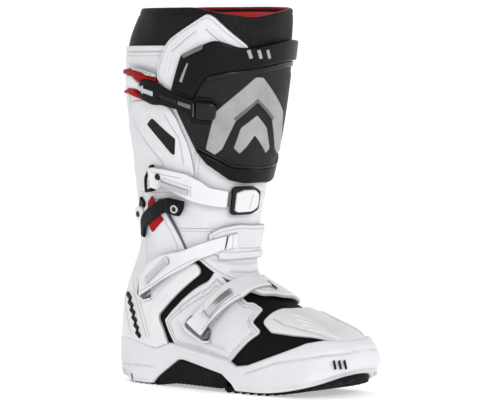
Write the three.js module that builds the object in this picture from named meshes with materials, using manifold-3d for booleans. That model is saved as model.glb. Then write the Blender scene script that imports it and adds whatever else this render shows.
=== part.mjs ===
// Off-road riding boot for the right foot, in millimetres: +X to the toe, +Y to the inner (medial) side, +Z up.
// The origin is on the ground, under the middle of the boot's bounding box.
import * as THREE from "three";
import { mergeVertices } from "three/addons/utils/BufferGeometryUtils.js";
import Module from "manifold-3d";

const wasm = await Module();
wasm.setup();

// ---------- Driving dimensions ----------
const SHIFT_X = -157; // the shape tables measure x from the back of the heel; this brings them to the origin
const SHIFT_Y = 2.9;
const GAP = 0.8; // air between one layer of the boot and the next
const UPPER = 2.7; // thickness of the leather upper
const LINER = 2; // thickness of the inner bootie
const FEATHER_Z = 24; // height where the foot is widest
const TOE_START = 262; // x where the toe begins to round off
const TOE_LENGTH = 55;
const HEEL_ROUND = 62;
const TOE_SIDE = 4; // the toe leans this far to the inner side
const FOOT_AXIS_Z = 32; // height of the foot's inner axis
const SHAFT_POWER = 2.3; // superellipse powers of the leg's and the foot's sections
const FOOT_POWER = 2.5;
const BLEND = 22; // how softly the leg runs into the foot
const FOOT_TOP_Z = 160; // top of the foot's upper, where the ankle bellows start
const LEG_BOTTOM_Z = 205; // bottom of the leg's shell
const SHELL_TOP_Z = 352; // top of the leg's shell, where the soft collar starts
const COLLAR_TOP_Z = 392;

// height, back x, front x, half width
const LEG = [
  [0, 6, 110, 34],
  [20, 1, 116, 38],
  [40, 0, 122, 39],
  [80, 2, 132, 40],
  [105, 6, 140, 43],
  [130, 13, 148, 46],
  [155, 19, 155, 49],
  [180, 21, 159, 54],
  [215, 21, 165, 60],
  [245, 19, 172, 65],
  [290, 15, 180, 71],
  [340, 13, 187, 75],
  [365, 18, 190, 76],
  [395, 28, 193, 74],
];
// x, outer half width, inner half width, top height
const FOOT = [
  [40, 38, 38, 120],
  [80, 41, 38, 126],
  [120, 45, 39, 126],
  [150, 50, 41, 119],
  [180, 54, 45, 106],
  [210, 56, 48, 92],
  [240, 55, 50, 82],
  [270, 51, 49, 75],
  [320, 46, 46, 64],
];

// ---------- Small maths ----------
const rad = THREE.MathUtils.degToRad;
const clamp = THREE.MathUtils.clamp;
const vec = (x, y, z) => new THREE.Vector3(x, y, z);

// Smooth value of a table's column at t: a cubic through its rows.
function smooth(table, column, t) {
  const last = table.length - 1;
  const key = clamp(t, table[0][0], table[last][0]);
  let i = 0;
  while (i < last - 1 && key > table[i + 1][0]) i++;
  const slope = (k) => {
    const a = table[Math.max(k - 1, 0)];
    const b = table[Math.min(k + 1, last)];
    return (b[column] - a[column]) / (b[0] - a[0]);
  };
  const [p, q] = [table[i], table[i + 1]];
  const h = q[0] - p[0];
  const s = (key - p[0]) / h;
  return (
    p[column] * (2 * s ** 3 - 3 * s ** 2 + 1) +
    slope(i) * h * (s ** 3 - 2 * s ** 2 + s) +
    q[column] * (3 * s ** 2 - 2 * s ** 3) +
    slope(i + 1) * h * (s ** 3 - s ** 2)
  );
}

// Straight-line value at t through [t, value] pairs.
function through(pairs, t) {
  const last = pairs.length - 1;
  if (t <= pairs[0][0]) return pairs[0][1];
  for (let i = 1; i <= last; i++)
    if (t <= pairs[i][0]) {
      const [[t0, v0], [t1, v1]] = [pairs[i - 1], pairs[i]];
      return v0 + ((v1 - v0) * (t - t0)) / (t1 - t0);
    }
  return pairs[last][1];
}

// ---------- The boot's outer shape, as a distance-like function ----------
const toeSide = (x) => TOE_SIDE * clamp((x - 120) / 150, 0, 1);
const soleSpring = (x) => 22 * Math.max((x - 215) / 100, 0) ** 1.8; // the sole curls up to the toe
const legAxisX = (z) => (smooth(LEG, 1, z) + smooth(LEG, 2, z)) / 2;

function legDistance(p) {
  const half = (smooth(LEG, 2, p.z) - smooth(LEG, 1, p.z)) / 2;
  const width = smooth(LEG, 3, p.z);
  const a = Math.abs((p.x - legAxisX(p.z)) / half) ** SHAFT_POWER;
  const b = Math.abs(p.y / width) ** SHAFT_POWER;
  return ((a + b) ** (1 / SHAFT_POWER) - 1) * Math.sqrt(half * width);
}

function footDistance(p) {
  const side = p.y - toeSide(p.x);
  const width = smooth(FOOT, side < 0 ? 1 : 2, p.x);
  const height = smooth(FOOT, 3, p.x) - FEATHER_Z;
  const terms = [
    Math.abs(side / width),
    Math.max(p.x - TOE_START, 0) / TOE_LENGTH,
    Math.max(75 - p.x, 0) / HEEL_ROUND,
    Math.max(p.z - FEATHER_Z, 0) / height,
  ];
  const sum = terms.reduce((total, t) => total + t ** FOOT_POWER, 0);
  return (sum ** (1 / FOOT_POWER) - 1) * 40;
}

function bootDistance(p) {
  const [a, b] = [legDistance(p), footDistance(p)];
  const h = clamp(0.5 + (0.5 * (b - a)) / BLEND, 0, 1);
  return b * (1 - h) + a * h - BLEND * h * (1 - h);
}

function bootNormal(p) {
  const step = 0.5;
  const g = ["x", "y", "z"].map((axis) => {
    const [far, near] = [p.clone(), p.clone()];
    far[axis] += step;
    near[axis] -= step;
    return bootDistance(far) - bootDistance(near);
  });
  return vec(...g).normalize();
}

// The point where a ray from inside reaches the surface, or the level that far outside it.
function reach(origin, direction, level = 0, floor = -Infinity) {
  let [near, far] = [0, 330];
  for (let i = 0; i < 26; i++) {
    const middle = (near + far) / 2;
    const p = origin.clone().addScaledVector(direction, middle);
    if (bootDistance(p) > level || p.z < floor + soleSpring(p.x)) far = middle;
    else near = middle;
  }
  return origin.clone().addScaledVector(direction, near);
}

// ---------- Three ways to name a place on the boot ----------
// Round the leg: angle in degrees (0 at the front, -90 on the outer side, 180 at the back) and height.
function onLeg(angle, z) {
  const a = rad(angle);
  const point = reach(vec(legAxisX(z), 0, z), vec(Math.cos(a), Math.sin(a), 0));
  return { point, normal: bootNormal(point) };
}
// Over the foot: x and angle in degrees (0 level on the outer side, 90 on top, 180 on the inner side).
function onFoot(x, angle) {
  const a = rad(angle);
  const origin = vec(x, toeSide(x), FOOT_AXIS_Z);
  const point = reach(origin, vec(0, -Math.cos(a), Math.sin(a)));
  return { point, normal: bootNormal(point) };
}
// Round the sole at a height: turn goes 0 to 1 from the heel's back, along the outer side, round the toe and back.
const HEEL_TURN = 0.1;
const TOE_TURN = 0.14;
const HEEL_AXIS_X = 45;
function rimPlace(turn) {
  const side = 0.5 - HEEL_TURN - TOE_TURN;
  const t = turn <= 0.5 ? turn : 1 - turn;
  const hand = turn <= 0.5 ? -1 : 1;
  if (t < HEEL_TURN) return { x: HEEL_AXIS_X, angle: hand * (180 - (90 * t) / HEEL_TURN) };
  if (t < HEEL_TURN + side)
    return {
      x: HEEL_AXIS_X + ((TOE_START - HEEL_AXIS_X) * (t - HEEL_TURN)) / side,
      angle: hand * 90,
    };
  return { x: TOE_START, angle: hand * 90 * (1 - (t - HEEL_TURN - side) / TOE_TURN) };
}
function onRim(turn, z) {
  const { x, angle } = rimPlace(turn);
  const a = rad(angle);
  const point = reach(vec(x, toeSide(x), z), vec(Math.cos(a), Math.sin(a), 0));
  return { point, normal: bootNormal(point) };
}

// ---------- Solid builders ----------
function meshSolid(points, faces) {
  let volume = 0;
  for (const [a, b, c] of faces)
    volume += points[a].dot(points[b].clone().cross(points[c])) / 6;
  const index = faces.flatMap(([a, b, c]) => (volume < 0 ? [a, c, b] : [a, b, c]));
  return new THREE.BufferGeometry().setFromPoints(points).setIndex(index);
}

// A closed skin between two grids of points. A grid is rows of points; wrap joins its last column to its first.
function skin(outer, inner, wrap = false) {
  const rows = outer.length;
  const columns = outer[0].length;
  const points = [...outer.flat(), ...inner.flat()];
  const at = (layer, r, c) => layer * rows * columns + r * columns + (c % columns);
  const faces = [];
  const quad = (a, b, c, d) => faces.push([a, b, c], [a, c, d]);
  const spans = wrap ? columns : columns - 1;
  for (let r = 0; r < rows - 1; r++)
    for (let c = 0; c < spans; c++) {
      quad(at(0, r, c), at(0, r, c + 1), at(0, r + 1, c + 1), at(0, r + 1, c));
      quad(at(1, r, c), at(1, r + 1, c), at(1, r + 1, c + 1), at(1, r, c + 1));
    }
  for (let c = 0; c < spans; c++) {
    quad(at(0, 0, c), at(1, 0, c), at(1, 0, c + 1), at(0, 0, c + 1));
    quad(at(0, rows - 1, c), at(0, rows - 1, c + 1), at(1, rows - 1, c + 1), at(1, rows - 1, c));
  }
  if (!wrap)
    for (let r = 0; r < rows - 1; r++) {
      quad(at(0, r, 0), at(0, r + 1, 0), at(1, r + 1, 0), at(1, r, 0));
      quad(at(0, r, columns - 1), at(1, r, columns - 1), at(1, r + 1, columns - 1), at(0, r + 1, columns - 1));
    }
  return meshSolid(points, faces);
}

const steps = (count) => Array.from({ length: count + 1 }, (_, i) => i / count);

// A panel laid on the boot: place(u, v) gives a point and normal, and the panel lies between two offsets.
function panel(columns, rows, place, low, high, wrap = false) {
  const us = wrap ? steps(columns).slice(0, -1) : steps(columns);
  const spots = steps(rows).map((v) => us.map((u) => place(u, v)));
  const layer = (off) =>
    spots.map((row) =>
      row.map(({ point, normal }) => point.clone().addScaledVector(normal, off)),
    );
  return skin(layer(high), layer(low), wrap);
}

// Panels by column: a leg panel between two heights that depend on the angle, and a foot panel between two angles.
function legPanel(from, to, bottom, top, low, high, columns, rows) {
  const place = (u, v) => {
    const angle = from + (to - from) * u;
    return onLeg(angle, through(bottom, angle) * (1 - v) + through(top, angle) * v);
  };
  return panel(columns, rows, place, low, high);
}
function footPanel(from, to, outerEdge, innerEdge, low, high, columns, rows) {
  const place = (u, v) => {
    const x = from + (to - from) * u;
    return onFoot(x, through(outerEdge, x) * (1 - v) + through(innerEdge, x) * v);
  };
  return panel(columns, rows, place, low, high);
}

// Value of a line of points at t from 0 to 1, its points evenly spaced.
function along(line, t) {
  const at = clamp(t, 0, 1) * (line.length - 1);
  const i = Math.min(Math.floor(at), line.length - 2);
  return line[i].map((value, k) => value + (line[i + 1][k] - value) * (at - i));
}
// A panel between two edge lines in a chart's own coordinates.
function ribbon(chart, lower, upper, low, high, columns, rows) {
  const place = (u, v) => {
    const [a, b] = [along(lower, u), along(upper, u)];
    return chart(a[0] + (b[0] - a[0]) * v, a[1] + (b[1] - a[1]) * v);
  };
  return panel(columns, rows, place, low, high);
}

// A tube of the leg between two heights.
const tube = (bottom, top, low, high, columns, rows) =>
  panel(columns, rows, (u, v) => onLeg(360 * u - 180, bottom + (top - bottom) * v), low, high, true);

// A closed sole plate between two heights, its edge set back or out from the boot's widest line.
function bed(from, to, setOut, low, high, count, spring = true) {
  const half = (x, hand) =>
    Math.abs(reach(vec(x, toeSide(x), FEATHER_Z - 4), vec(0, hand, 0), setOut).y);
  const xs = steps(count).map((t) => from + ((to - from) * (1 - Math.cos(Math.PI * t))) / 2);
  const rise = (x) => (spring ? soleSpring(x) : 0);
  const row = (z) => xs.map((x) => [vec(x, -half(x, -1), z(x) + rise(x)), vec(x, half(x, 1), z(x) + rise(x))]);
  return skin(row(high), row(low));
}

// A solid from a union or difference of two geometries.
function toManifold(geometry) {
  const bare = new THREE.BufferGeometry();
  bare.setAttribute("position", geometry.getAttribute("position"));
  bare.setIndex(geometry.index);
  const merged = mergeVertices(bare.index ? bare.toNonIndexed() : bare, 1e-4);
  return new wasm.Manifold(
    new wasm.Mesh({
      numProp: 3,
      vertProperties: merged.attributes.position.array,
      triVerts: new Uint32Array(merged.index.array),
    }),
  );
}
function fromManifold(solid) {
  const { vertProperties, triVerts } = solid.getMesh();
  return new THREE.BufferGeometry()
    .setAttribute("position", new THREE.BufferAttribute(vertProperties, 3))
    .setIndex(new THREE.BufferAttribute(triVerts, 1));
}
const join = (...parts) =>
  fromManifold(parts.map(toManifold).reduce((a, b) => a.add(b)));
const cut = (body, ...tools) =>
  fromManifold(tools.map(toManifold).reduce((a, b) => a.subtract(b), toManifold(body)));

// ---------- Scene and materials ----------
const boot = new THREE.Group();
boot.position.set(SHIFT_X, SHIFT_Y, 0);

const finish = (color, roughness, metalness = 0) =>
  new THREE.MeshStandardMaterial({ color, roughness, metalness });
const look = {
  leather: finish(0xe4e5e8, 0.45),
  plastic: finish(0xeceef0, 0.35),
  black: finish(0x161617, 0.6),
  rubber: finish(0x0e0e0f, 0.85),
  charcoal: finish(0x2c2c2e, 0.55),
  red: finish(0xc02026, 0.4),
  lining: finish(0xa8161c, 0.9),
  steel: finish(0xc4c6c8, 0.25, 1),
  board: finish(0x5a5148, 0.9),
};
function add(name, geometry, material, group = boot) {
  const mesh = new THREE.Mesh(geometry, material);
  mesh.name = name;
  geometry.computeVertexNormals();
  group.add(mesh);
  return mesh;
}

// ---------- Foot: a fan of sections from the ankle opening, round the heel, to the toe ----------
// Sections turn from level to upright about a line in front of the ankle, then step along to the toe.
const FAN_X = 167;
const FAN_TURNS = [0, 12, 23, 33, 39, 44, 52, 63, 76, 90]; // closer together at the heel's lower corner
function footSections(stepsToToe) {
  const pivot = vec(FAN_X, 0, FOOT_TOP_Z);
  const turned = FAN_TURNS.map((turn) => {
    const a = rad(turn);
    const out = vec(-Math.cos(a), 0, -Math.sin(a));
    return { centre: pivot.clone().addScaledVector(out, 80 + turn / 2), up: out.clone().negate() };
  });
  const stepped = steps(stepsToToe).slice(1).map((t) => {
    const x = FAN_X + (TOE_START + 38 - FAN_X) * t;
    return { centre: vec(x, toeSide(x), 40 + soleSpring(x) * 0.6), up: vec(0, 0, 1) };
  });
  return [...turned, ...stepped];
}
function footShell(sections, around, level, floor) {
  return sections.map(({ centre, up }) =>
    steps(around).slice(0, -1).map((t) => {
      const a = 2 * Math.PI * t;
      const direction = up.clone().multiplyScalar(Math.cos(a)).add(vec(0, Math.sin(a), 0));
      return reach(centre, direction, level, floor);
    }),
  );
}
// A sock-like solid: two shells joined at the ankle rim and closed at the toe.
function sock(level, thickness, floor, sole) {
  const around = 32;
  const sections = footSections(8);
  const outer = footShell(sections, around, level, floor);
  const inner = footShell(sections, around, level - thickness, floor + sole);
  const points = [...outer.flat(), ...inner.flat()];
  const rows = outer.length;
  const at = (layer, r, c) => layer * rows * around + r * around + (c % around);
  const faces = [];
  const quad = (a, b, c, d) => faces.push([a, b, c], [a, c, d]);
  for (let r = 0; r < rows - 1; r++)
    for (let c = 0; c < around; c++) {
      quad(at(0, r, c), at(0, r, c + 1), at(0, r + 1, c + 1), at(0, r + 1, c));
      quad(at(1, r, c), at(1, r + 1, c), at(1, r + 1, c + 1), at(1, r, c + 1));
    }
  const tip = (layer) => {
    const ring = (layer ? inner : outer)[rows - 1];
    const centre = ring.reduce((sum, p) => sum.add(p), vec(0, 0, 0)).divideScalar(around);
    centre.x = reach(centre, vec(1, 0, 0), level - layer * thickness).x;
    points.push(centre);
    return points.length - 1;
  };
  const tips = [tip(0), tip(1)];
  for (let c = 0; c < around; c++) {
    quad(at(0, 0, c), at(1, 0, c), at(1, 0, c + 1), at(0, 0, c + 1));
    faces.push([at(0, rows - 1, c), at(0, rows - 1, c + 1), tips[0]]);
    faces.push([at(1, rows - 1, c + 1), at(1, rows - 1, c), tips[1]]);
  }
  return meshSolid(points, faces);
}

// ---------- Sole: treads, arch, cage, shank, midsole, footbed ----------
const TREAD_Z = 7; // top of the rubber treads
const ARCH_BOTTOM_Z = 4;
const UPPER_FLOOR_Z = 14; // underside of the upper
// lower and upper edge of the white cage, by x along either side
const CAGE_LOW = [[0, 2], [64, 2.5], [71, 9], [101, 29], [107, 30], [168, 19], [183, 9], [188, 3], [215, 3]];
const CAGE_HIGH = [[0, 49], [30, 49], [70, 40], [90, 47], [174, 36], [188, 29], [204, 31], [238, 43], [270, 55], [290, 58]];
const level = () => TREAD_Z;

function addSole() {
  add("heel_tread", bed(8, 74, -4.5, () => 0, level, 8, false), look.rubber);
  add("forefoot_tread", bed(167, 311, -0.6, () => 0, level, 14), look.rubber);
  const arch = [
    bed(76, 165, 2.4, () => ARCH_BOTTOM_Z, level, 4),
    ...[-1, 1].map((hand) =>
      panel(
        11,
        2,
        (u, v) => {
          const x = 77 + 87 * u;
          const z = ARCH_BOTTOM_Z + (through(CAGE_LOW, x) - 3 - ARCH_BOTTOM_Z) * v;
          const point = reach(vec(x, toeSide(x), z), vec(0, hand, 0));
          return { point, normal: vec(0, hand, 0) };
        },
        GAP,
        3,
      ),
    ),
  ];
  add("arch_rubber", join(...arch), look.rubber);
  const rim = (u, v) => {
    const { x } = rimPlace(u);
    const spring = soleSpring(x === TOE_START ? onRim(u, FEATHER_Z).point.x : x);
    const low = through(CAGE_LOW, x) + spring;
    const reachX = x === TOE_START ? onRim(u, FEATHER_Z).point.x : x;
    return onRim(u, low + (through(CAGE_HIGH, reachX) - low) * v);
  };
  add("sole_cage", panel(84, 4, rim, GAP, 4.6, true), look.plastic);
  add("steel_shank", skinPlate(66, 190, 20, 7.8, 9.4), look.steel);
  add("midsole", bed(12, 300, -4, () => 10.2, () => 13.2, 12), look.board);
  add("footbed", bed(30, 280, -24, () => 22.5, () => 25.5, 12), look.board);
}
// A plain flat plate along the foot.
function skinPlate(from, to, halfWidth, low, high) {
  const plate = new THREE.BoxGeometry(to - from, 2 * halfWidth, high - low);
  return plate.translate((from + to) / 2, 0, (low + high) / 2);
}

// ---------- Foot uppers and panels ----------
const COUNTER_EDGE = [[47, -64], [60, -76], [72, -83], [88, -68], [110, -47], [124, -42]]; // height, angle
const GUARD_EDGE = [[127, -50], [147, -61], [182, -87], [200, -96]];

// A panel that wraps round the heel from one front edge to the other, between two heights by angle.
function backPanel(edge, bottom, top, low, high, columns, rows) {
  const place = (u, v) => {
    const turn = 2 * Math.abs(u - 0.5); // 1 at the front edges, 0 at the back
    const z0 = bottom + (through(top, 180 - 90 * turn) - bottom) * v;
    const front = -through(edge, z0);
    const angle = 180 - (180 - front) * turn;
    return onLeg(u < 0.5 ? -angle : angle, z0);
  };
  return panel(columns, rows, place, low, high);
}

function addFoot() {
  const upperLevel = -0.4;
  const linerLevel = upperLevel - UPPER - GAP;
  add("foot_upper", sock(upperLevel, UPPER, UPPER_FLOOR_Z, 1.8), look.black);
  add("foot_liner", sock(linerLevel, LINER, UPPER_FLOOR_Z + 2.6, 1.6), look.lining);
  add("heel_counter", backPanel(COUNTER_EDGE, 52, [[90, 122], [140, 112], [180, 112]], GAP, 3.8, 20, 4), look.plastic);
  add("ankle_guard", backPanel(GUARD_EDGE, 127, [[90, 198], [120, 190], [150, 172], [180, 168]], GAP, 2.6, 20, 4), look.leather);
  const quarterLow = [[84, 36], [92, 24], [119, 18], [142, 14], [165, 9], [178, 6], [196, 19], [210, 35]];
  const quarterHigh = [[84, 44], [98, 52], [119, 60], [142, 68], [190, 61], [200, 58], [203, 44], [210, 38]];
  add("outer_quarter", footPanel(84, 210, quarterLow, quarterHigh, GAP, 2.6, 14, 5), look.leather);
  const mirrored = (edge) => edge.map(([x, a]) => [x, 180 - a]);
  add("inner_quarter", footPanel(84, 210, mirrored(quarterLow), mirrored(quarterHigh), GAP, 2.6, 14, 5), look.leather);
  const capEdge = [[214, 52], [222, 37], [250, 36], [284, 43], [298, 55]];
  add("toe_cap", footPanel(214, 298, capEdge, mirrored(capEdge), GAP, 3.6, 9, 8), look.plastic);
  add("flex_bellows", tube(FOOT_TOP_Z + 0.6, LEG_BOTTOM_Z - 0.6, -UPPER, -0.4, 32, 6), look.leather);
  const instepLow = [[-50, 132], [-44, 124], [-30, 116], [30, 116], [44, 124], [50, 132]];
  add("instep_panel", legPanel(-48, 48, instepLow, [[0, 158]], GAP, 2.6, 12, 4), look.leather);
  const badge = (u, v) => {
    const z = 50 + 44 * v;
    return onLeg(-106 - 27 * v - 14 * u, z);
  };
  add("heel_badge", panel(2, 4, badge, 4.6, 6.4), look.black);
  const insert = (u, v) => onLeg(-115 + 18 * u, 164 + 30 * v);
  add("brace_insert", panel(2, 3, insert, 4, 5), look.red);
}

// ---------- Leg ----------
function addLeg() {
  add("leg_shell", tube(LEG_BOTTOM_Z, SHELL_TOP_Z, -0.4 - UPPER, -0.4, 36, 7), look.leather);
  add("soft_collar", tube(SHELL_TOP_Z + GAP, COLLAR_TOP_Z, -3.6, 1, 36, 3), look.black);
  add("leg_liner", tube(LEG_BOTTOM_Z + 1, COLLAR_TOP_Z - 3, -6.6, -4.6, 32, 7), look.lining);
  const peakTop = [[-91, 335], [-85, 355], [-80, 365], [-58, 390], [-50, 388], [-33, 369], [-24, 358]];
  const peakBottom = [[-91, 322], [-78, 312], [-72, 322], [-62, 336], [-24, 340]];
  add("peak_panel", legPanel(-91, -24, peakBottom, peakTop, 1.8, 4, 10, 4), look.leather);
  const calfPlace = (u, v) => {
    const z = 234 + 72 * v;
    const seam = through([[232, -88], [255, -107], [272, -120], [306, -130]], z);
    const front = through([[232, -54], [253, -61], [292, -78], [306, -84]], z);
    return onLeg(seam + (front - seam) * u, z);
  };
  add("calf_panel", panel(6, 5, calfPlace, GAP, 2.2), look.leather);
  add("calf_vent", legPanel(-103, -74, [[-103, 275], [-74, 245]], [[-103, 278], [-99, 282], [-74, 262]], 3, 4, 5, 2), look.rubber);
  const guardTop = [[66, 318], [96, 330], [132, 322]];
  const guardBottom = [[66, 262], [80, 228], [120, 222], [132, 240]];
  add("inner_calf_guard", legPanel(72, 132, guardBottom, guardTop, GAP, 3, 7, 5), look.rubber);
}

// ---------- Shin flap ----------
function addShin() {
  const plateEdge = [[216, 22], [220, 27], [238, 48], [253, 56], [292, 71], [328, 64]];
  const platePlace = (u, v) => {
    const z = 216 + 112 * v;
    const edge = through(plateEdge, z);
    return onLeg(-edge + 2 * edge * u * (66 / 71), z);
  };
  add("shin_plate", panel(14, 7, platePlace, 1.2, 4), look.charcoal);
  const frameLow = [[-75, 310], [-57, 303], [-51, 320], [-46, 328], [-16, 336], [15, 342], [62, 344]];
  const frameHigh = [[-75, 318], [-68, 348], [-55, 358], [-47, 363], [-40, 363], [-28, 357], [15, 365], [62, 362]];
  add("shin_frame", legPanel(-75, 62, frameLow, frameHigh, 5, 8.4, 18, 3), look.black);
  const bumperLow = [[-54, 247], [-45, 237], [-26, 221], [0, 217], [26, 221], [45, 237]];
  const bumperHigh = [[-54, 252], [-45, 246], [-26, 234], [0, 231], [26, 234], [45, 246]];
  add("shin_bumper", legPanel(-54, 45, bumperLow, bumperHigh, 4.8, 8, 10, 2), look.black);
  const chevron = [
    [[-36, 249], [-28, 278], [-12, 296], [4, 278], [12, 243]],
    [[-47, 256], [-39, 288], [-12, 319], [15, 288], [23, 246]],
  ];
  add("shin_chevron", ribbon(onLeg, ...chevron, 4.8, 6.4, 12, 2), look.steel);
}

// ---------- Buckles ----------
// Each buckle: a base on the boot, a strap whose front end is pinned at the adjuster, and a lever pinned on the strap.
// Lines run from the rear to the front; leg lines hold angle and height, foot lines hold x and angle.
const buckles = [
  {
    name: "1",
    chart: onLeg,
    strap: [[[-105, 303], [-85, 297], [-70, 291], [-58, 285]], [[-104, 323], [-88, 318.5], [-74, 308.5], [-58, 301.5]]],
    strapLevel: 6.2,
    base: [[[-122, 308], [-94, 303]], [[-120, 333], [-94, 330]]],
    adjuster: [[[-54.5, 282], [-41, 281]], [[-54.5, 301], [-41, 299]]],
    adjusterLevels: [5, 11],
    lever: [[[-102, 311], [-90, 306]], [[-102, 317], [-90, 312]]],
    colors: { strap: "black", base: "red", adjuster: "black" },
  },
  {
    name: "2",
    chart: onLeg,
    strap: [
      [[-105, 211], [-86, 214], [-70, 205], [-54, 197], [-40, 193], [-27, 191]],
      [[-105, 230], [-86, 230], [-70, 227], [-54, 221], [-40, 212], [-27, 208]],
    ],
    strapLevel: 6.2,
    base: [[[-116, 206], [-98, 206]], [[-116, 229], [-98, 231]]],
    adjuster: [[[-23, 184], [4, 184]], [[-23, 210], [4, 211]]],
    adjusterLevels: [5, 10],
    lever: [[[-88, 214], [-58, 204.5]], [[-88, 220], [-58, 210.5]]],
    colors: { strap: "plastic", base: "steel", adjuster: "black" },
  },
  {
    name: "3",
    chart: onLeg,
    strap: [
      [[-114, 94], [-96, 103], [-83, 110], [-54, 126], [-41, 137], [-24, 147]],
      [[-118, 116], [-106, 131], [-88, 140], [-60, 146], [-41, 156], [-24, 163]],
    ],
    strapLevel: 8,
    base: [[[-122, 92], [-100, 94]], [[-124, 114], [-100, 120]]],
    adjuster: [[[-34, 141], [22, 141], [84, 147]], [[-38, 164], [22, 171], [84, 165]]],
    adjusterLevels: [3.6, 7],
    lever: [[[-101, 107.5], [-71, 132]], [[-104, 113], [-75, 138]]],
    colors: { strap: "plastic", base: "steel", adjuster: "plastic" },
  },
  {
    name: "4",
    chart: onFoot,
    strap: [
      [[141, 27], [150, 37], [169, 51], [185, 62], [190, 73], [195, 85]],
      [[116, 41], [132, 50], [149, 59], [162, 70], [170, 78], [178, 87]],
    ],
    strapLevel: 7.8,
    base: [[[146, 24], [152, 34]], [[112, 37], [122, 48]]],
    adjuster: [[[207, 68], [211, 84], [209, 118]], [[182, 68], [174, 84], [172, 118]]],
    adjusterLevels: [3.4, 6.8],
    lever: [[[151, 42], [179, 66]], [[144, 46], [172, 70]]],
    colors: { strap: "plastic", base: "steel", adjuster: "plastic" },
  },
];
const STRAP_THICKNESS = 2.6;
const LEVER_THICKNESS = 1.8;
const PIN_RADIUS = 1.3;
// A pin across the end of a strap or lever: between the lines' points at t, at a level over the boot.
function crossPin(chart, [lower, upper], t, ahead, lift, trim) {
  const ends = [lower, upper].map((line) => {
    const { point, normal } = chart(...along(line, t));
    return point.addScaledVector(normal, lift);
  });
  const before = chart(...along(lower, Math.abs(t - 0.1)));
  const forward = ends[0].clone().sub(before.point.addScaledVector(before.normal, lift)).normalize();
  if (t < 0.5) forward.negate();
  const across = ends[1].clone().sub(ends[0]);
  const pin = new THREE.CylinderGeometry(PIN_RADIUS, PIN_RADIUS, across.length() * trim, 10);
  const turn = new THREE.Quaternion().setFromUnitVectors(vec(0, 1, 0), across.clone().normalize());
  const middle = ends[0].clone().addScaledVector(across, 0.5);
  middle.addScaledVector(forward, ahead * (t < 0.5 ? -1 : 1));
  return pin.applyQuaternion(turn).translate(middle.x, middle.y, middle.z);
}
function addBuckles() {
  for (const b of buckles) {
    const { name, chart, colors, strapLevel: lift } = b;
    add(`base_${name}`, ribbon(chart, ...b.base, 4.4, lift - 0.6, 4, 2), look[colors.base]);
    add(`strap_${name}`, ribbon(chart, ...b.strap, lift, lift + STRAP_THICKNESS, 14, 2), look[colors.strap]);
    add(`adjuster_${name}`, ribbon(chart, ...b.adjuster, ...b.adjusterLevels, 10, 2), look[colors.adjuster]);
    const top = lift + STRAP_THICKNESS + 0.6;
    add(`lever_${name}`, ribbon(chart, ...b.lever, top, top + LEVER_THICKNESS, 6, 1), look.steel);
    const middle = lift + STRAP_THICKNESS / 2;
    add(`strap_pin_${name}`, crossPin(chart, b.strap, 1, 2.2, middle, 0.9), look.steel);
    add(`lever_pin_${name}`, crossPin(chart, b.lever, 0, 2.2, top + PIN_RADIUS, 1.4), look.steel);
  }
}

// ---------- Ankle brace: an arm that turns on a screw and guides the back of the leg ----------
function addBrace() {
  const spot = onLeg(-71, 190);
  const turned = (profile, low) => {
    const lathe = new THREE.LatheGeometry(profile.map(([r, h]) => new THREE.Vector2(r, h)), 16);
    const turn = new THREE.Quaternion().setFromUnitVectors(vec(0, 1, 0), spot.normal);
    const base = spot.point.clone().addScaledVector(spot.normal, low);
    return lathe.applyQuaternion(turn).translate(base.x, base.y, base.z);
  };
  const arm = ribbon(
    onLeg,
    [[-118, 158], [-106, 173], [-88, 183], [-66, 181]],
    [[-118, 182], [-99, 195], [-82, 200], [-64, 196]],
    5.8,
    8.6,
    12,
    3,
  );
  const drill = turned([[0, -4], [3.2, -4], [3.2, 12], [0, 12]], 0);
  add("brace_arm", cut(arm, drill), look.black);
  const screw = [[0, 0], [2.6, 0], [2.6, 5], [4.6, 5], [4.6, 6.8], [0, 6.8]];
  add("brace_screw", turned(screw, 4.4), look.steel);
}

addSole();
addFoot();
addLeg();
addShin();
addBuckles();
addBrace();

export default boot;
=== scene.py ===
# Off-road riding boot: fine surfaces, materials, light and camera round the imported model.
import math

import bpy
import numpy as np
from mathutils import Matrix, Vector, geometry


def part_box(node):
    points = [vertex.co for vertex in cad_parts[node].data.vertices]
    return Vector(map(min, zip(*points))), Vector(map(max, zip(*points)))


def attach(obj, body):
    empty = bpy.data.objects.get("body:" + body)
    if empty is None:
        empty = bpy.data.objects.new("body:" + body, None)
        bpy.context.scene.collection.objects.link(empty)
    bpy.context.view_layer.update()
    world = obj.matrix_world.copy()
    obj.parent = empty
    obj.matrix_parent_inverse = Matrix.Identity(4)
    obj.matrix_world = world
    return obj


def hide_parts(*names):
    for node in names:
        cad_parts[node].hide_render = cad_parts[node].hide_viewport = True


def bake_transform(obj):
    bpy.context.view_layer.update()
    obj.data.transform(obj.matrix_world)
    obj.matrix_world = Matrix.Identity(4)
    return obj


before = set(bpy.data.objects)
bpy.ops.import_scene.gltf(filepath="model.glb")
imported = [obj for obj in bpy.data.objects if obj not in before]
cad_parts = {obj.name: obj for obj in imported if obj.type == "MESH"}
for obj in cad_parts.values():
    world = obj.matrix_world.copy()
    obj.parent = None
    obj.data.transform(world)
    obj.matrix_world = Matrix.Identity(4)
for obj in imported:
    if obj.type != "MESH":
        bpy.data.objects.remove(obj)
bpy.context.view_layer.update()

# ---------- The boot's outer shape, in millimetres from the back of the heel ----------
# height, back x, front x, half width
LEG = np.array([
    [0, 6, 110, 34], [20, 1, 116, 38], [40, 0, 122, 39], [80, 2, 132, 40], [105, 6, 140, 43],
    [130, 13, 148, 46], [155, 19, 155, 49], [180, 21, 159, 54], [215, 21, 165, 60], [245, 19, 172, 65],
    [290, 15, 180, 71], [340, 13, 187, 75], [365, 18, 190, 76], [395, 34, 193, 72],
], float)
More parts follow.
